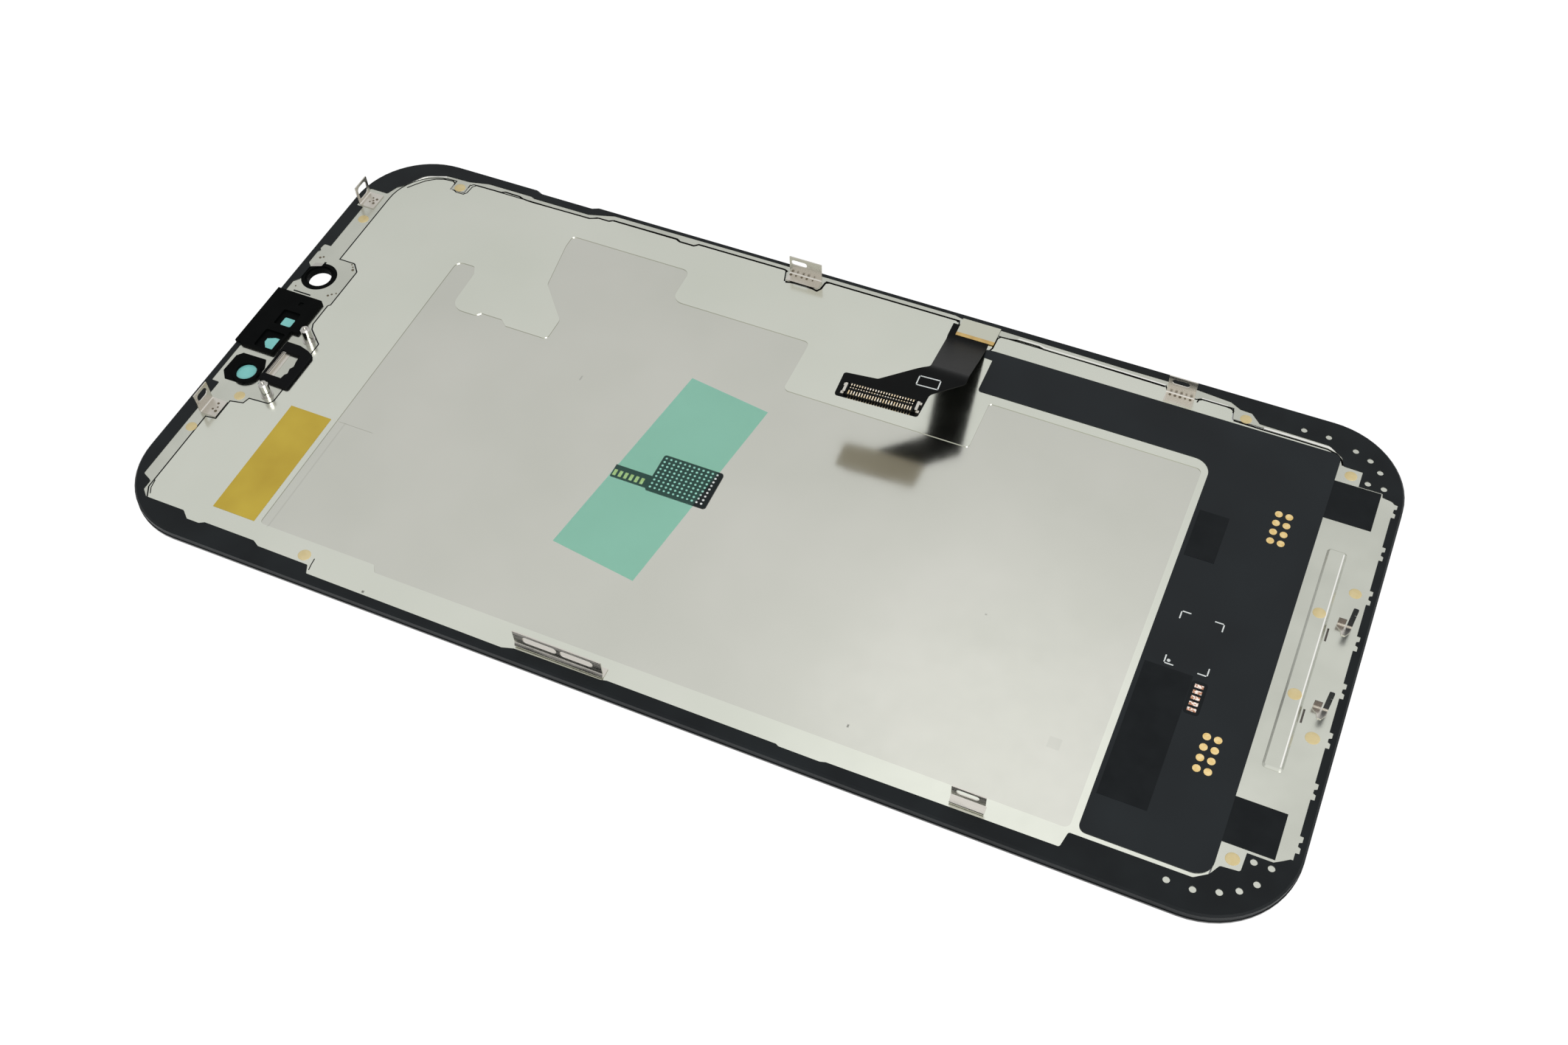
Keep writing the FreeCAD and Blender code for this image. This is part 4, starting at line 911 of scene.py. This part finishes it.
def buildPlugBody(settings):
    base, top = plugLevels(settings)
    halfLength, halfDepth, wall = settings["length"] / 2, settings["depth"] / 2, settings["wall"]
    floorTop = base + settings["floor"] * mm
    tongueHalf = (halfLength - settings["tongueInset"], settings["tongueWidth"] / 2)
    slabs = [(turnedBox(settings, 0, 0, halfLength, halfDepth), base, floorTop),
             (turnedBox(settings, 0, 0, *tongueHalf), base, top)]
    for side in (-1, 1):
        slabs.append((turnedBox(settings, 0, side * (halfDepth - wall / 2), halfLength, wall / 2), base, top))
        slabs.append((turnedBox(settings, side * (halfLength - wall / 2), 0, wall / 2, halfDepth), base, top))
    body = makeSlabs("plugBody", slabs, materials["connector_black"])
    finishPiece(body, "connector_black", "connector_housing")


def buildPlugContacts(settings):
    base, top = plugLevels(settings)
    run = settings["pitch"] * (settings["contacts"] - 1)
    tipMaterial = contactMaterial()
    pieces = []
    for name, across, reach, atTop in settings["rows"]:
        level = top if atTop else base + settings["tailLift"] * mm
        places = []
        for number in range(settings["contacts"]):
            x, y = turned(settings, number * settings["pitch"] - run / 2, across)
            places.append((x * mm, y * mm, level))
        pieces.append(repeatForm(name, "Block", places, tipMaterial, length=settings["contactWidth"] * mm,
                                 width=reach * mm, height=settings["contactGauge"] * mm, spread=0.04,
                                 turn=settings["turn"]))
    for piece in pieces:
        replaced = ["connector_contacts"] if piece.name == "farTips" else []
        finishPiece(piece, "pad_gold", *replaced)


def buildPlugTabs(settings):
    # A clip at each end of the plug: an upright plate and two small feet.
    base, top = plugLevels(settings)
    tabs = []
    for side in (-1, 1):
        end = side * (settings["length"] / 2 + settings["tabGap"])
        plate = turnedBox(settings, end, 0, *settings["tabHalf"])
        tabs.append((plate, base, top + settings["tabRise"] * mm))
        for across in (-settings["footPlace"], settings["footPlace"]):
            foot = turnedBox(settings, end + side * settings["footStep"], across, *settings["footHalf"])
            tabs.append((foot, base, base + settings["footHeight"] * mm))
    finishPiece(makeSlabs("plugEndTabs", tabs, materials["clip_steel"]), "clip_steel")


buildPlugBody(plugSettings)
buildPlugContacts(plugSettings)
buildPlugTabs(plugSettings)
print("plug built")


# White registration marks printed on the film and on the flap.
printSettings = {
    "corners": [(57.1, 0.7, 1, -1), (62.6, 0.7, -1, -1), (57.1, -7.5, 1, 1), (62.6, -7.5, -1, 1)],
    "stroke": 0.16,
    "reach": 1.25,
    "dot": (57.65, -6.95, 0.22),
    "flapBox": [(15.55, 16.75), (18.5, 16.9), (18.4, 18.5), (15.5, 18.35)],
    "thickness": 0.01 * mm,
}


def buildPrint(settings):
    stroke, reach, rise = settings["stroke"], settings["reach"], settings["thickness"]
    slabs = []
    for x, y, alongX, alongY in settings["corners"]:
        for lengthX, lengthY in ((reach, stroke), (stroke, reach)):
            left, right = sorted((x, x + alongX * lengthX))
            near, far = sorted((y, y + alongY * lengthY))
            slabs.append(([(left, near), (right, near), (right, far), (left, far)], filmTop, filmTop + rise))
    dotX, dotY, dotRadius = settings["dot"]
    ring = [(dotX + dotRadius * math.cos(math.pi * k / 8), dotY + dotRadius * math.sin(math.pi * k / 8))
            for k in range(16)]
    slabs.append((ring, filmTop, filmTop + rise))
    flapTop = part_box("display_flex")[1][2]
    box = [Vector(corner) for corner in settings["flapBox"]]
    for start, end in zip(box, box[1:] + box[:1]):
        run = (end - start).normalized()
        side = Vector((-run.y, run.x)) * stroke / 2
        start, end = start - run * stroke / 2, end + run * stroke / 2
        slabs.append(([tuple(start - side), tuple(end - side), tuple(end + side), tuple(start + side)],
                      flapTop, flapTop + rise))
    finishPiece(makeSlabs("printedMarks", slabs, materials["print_white"]), "print_white")


buildPrint(printSettings)


# The small bright tongue that is bent down into the camera opening, drawn as a flat slab on the plate.
tongueSettings = {
    "corners": [(-77.15, 10.75), (-75.75, 11.35), (-75.7, 11.95), (-76.95, 11.6)],
    "gauge": 0.04 * mm,
}


def buildTongue(settings):
    slabs = [(settings["corners"], plateTop, plateTop + settings["gauge"])]
    finishPiece(makeSlabs("cameraTongue", slabs, materials["post_steel"]), "surround_steel")


buildTongue(tongueSettings)
print("print and tongue placed")


# Painted shade along the gaps where the plate ends beside the surround, and painted highlights on the edges
# beside some of them and on the rib's wall.
# Each line is its width and its points, in mm.
seamSettings = {
    "gaps": [
        (0.2, [(-72.7, 30.6), (-71.8, 31.8), (-70.8, 33.0), (-69.5, 33.9), (-68.3, 34.35), (-66.8, 34.5),
               (-66.3, 34.2)]),
        (0.16, [(-65.8, 32.85), (-65.2, 32.55), (-63.9, 32.55), (-63.55, 33.0), (-63.4, 34.5),
                (-62.9, 35.0)]),
        (0.26, [(-62.9, 35.0), (-58.7, 35.05), (-58.1, 35.35), (-55.6, 35.3), (-55.0, 35.05), (-53.5, 34.92),
                (-43.5, 35.05), (-42.25, 35.6), (-40.6, 35.6), (-40.0, 35.95)]),
        (0.3, [(-40.0, 35.95), (-29.4, 36.0), (-28.8, 35.65), (-26.5, 35.65), (-25.9, 36.15), (-12.1, 36.2),
               (-11.5, 35.95)]),
        (0.3, [(-11.0, 33.95), (-9.8, 34.3), (-7.75, 34.35), (-6.1, 34.0), (-5.7, 34.6), (-5.55, 35.9),
               (-5.0, 36.15), (14.5, 36.15), (14.85, 35.9)]),
        (0.24, [(20.3, 32.05), (20.7, 32.4), (20.93, 33.0), (20.97, 35.0), (21.3, 35.45), (22.5, 35.5),
                (23.6, 35.7), (26.8, 35.7), (27.6, 35.45), (34.0, 35.4), (45.0, 35.2)]),
        (0.2, [(49.75, 34.1), (49.85, 34.6), (50.3, 34.85), (53.5, 34.85), (54.3, 34.75), (54.8, 34.4)]),
        (0.25, [(55.1, 32.85), (59.0, 32.75), (63.5, 32.75), (67.8, 32.7), (69.0, 32.35), (69.8, 31.7),
                (70.25, 30.7)]),
        (0.14, [(-74.65, -31.2), (-74.4, -32.5), (-73.9, -33.35)]),
        (0.14, [(-47.55, -33.98), (-47.45, -35.0), (-47.3, -35.8)]),
    ],
    "edgeHighlights": [
        (0.2, [(23.7, 36.02), (26.8, 36.02), (27.6, 35.78), (34.0, 35.72), (45.0, 35.5)]),
        (0.28, [(59.2, 33.1), (63.5, 33.1), (67.8, 33.05), (69.2, 32.7), (70.0, 32.0)]),
        (0.3, [(-73.3, 31.2), (-72.3, 32.6), (-71.0, 33.9), (-69.6, 34.65), (-68.2, 35.0)]),
        (0.14, [(50.2, 35.06), (53.8, 35.06)]),
    ],
    "ribHighlights": [(0.16, [(73.6, -16.2), (73.6, 16.4)])],
    "lift": 0.004 * mm,
}


def gapShadeMaterial():
    # Painted shade of a deep narrow gap: near black, no shine.
    return startMaterial("shadedGap", "#0B0A09", 0.9, **{"Specular IOR Level": 0.0})[0]


def edgeHighlightMaterial():
    # Painted highlight on an edge: a thin white gleam.
    return startMaterial("paintedEdgeHighlight", "#F4F3EE", 0.12, Metallic=1.0)[0]


def flatBands(lines, level, lift):
    return [ribbon(line, width, level, level + lift) for width, line in lines]


def buildSeams(settings):
    lift = settings["lift"]
    gaps = flatBands(settings["gaps"], plateTop, lift)
    edgeHighlights = flatBands(settings["edgeHighlights"], plateTop, lift)
    edgeHighlights += flatBands(settings["ribHighlights"], ribTop, lift)
    finishPiece(joinForms("seamGapShades", gaps, gapShadeMaterial()), "shield_steel")
    finishPiece(joinForms("seamHighlights", edgeHighlights, edgeHighlightMaterial()), "shield_steel")


buildSeams(seamSettings)


# Dark lacquer printed round the solder pads, sizes in mm.
lacquerSettings = {"reach": 0.45, "radius": 0.5, "thickness": 0.004}


def buildLacquer(settings):
    padLow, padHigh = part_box("solder_pads")
    low = [padLow[i] / mm - settings["reach"] for i in range(2)]
    high = [padHigh[i] / mm + settings["reach"] for i in range(2)]
    outline = roundedBox(low, high, settings["radius"])
    top = filmTop + settings["thickness"] * mm
    lacquer = makeSlabs("padLacquer", [(outline, filmTop, top)], materials["label_black"])
    finishPiece(lacquer, "label_black")


buildLacquer(lacquerSettings)


# Dabs of glue that tack the plate and the surround.
glueSettings = {
    "onSheet": [(-65.1, 33.6), (-75.3, 22.2), (-72.6, -14.4), (-75.6, -21.6), (-49.1, -34.0), (56.6, 33.7),
                (71.6, 29.4), (71.5, -29.4), (76.2, 11.3), (76.1, -10.8)],
    "onRib": [(72.75, 6.6), (72.75, -5.9)],
    "length": 0.84 * mm,
    "width": 0.8 * mm,
    "height": 0.11 * mm,
}


def buildGlue(settings):
    places = [(x * mm, y * mm, plateTop) for x, y in settings["onSheet"]]
    places += [(x * mm, y * mm, ribTop) for x, y in settings["onRib"]]
    dabs = repeatForm("glueDabs", "Blob", places, materials["glue_amber"], length=settings["length"],
                      width=settings["width"], height=settings["height"], spread=0.06)
    finishPiece(dabs, "glue_amber", "glue_dots")


buildGlue(glueSettings)
print("seams and glue placed")
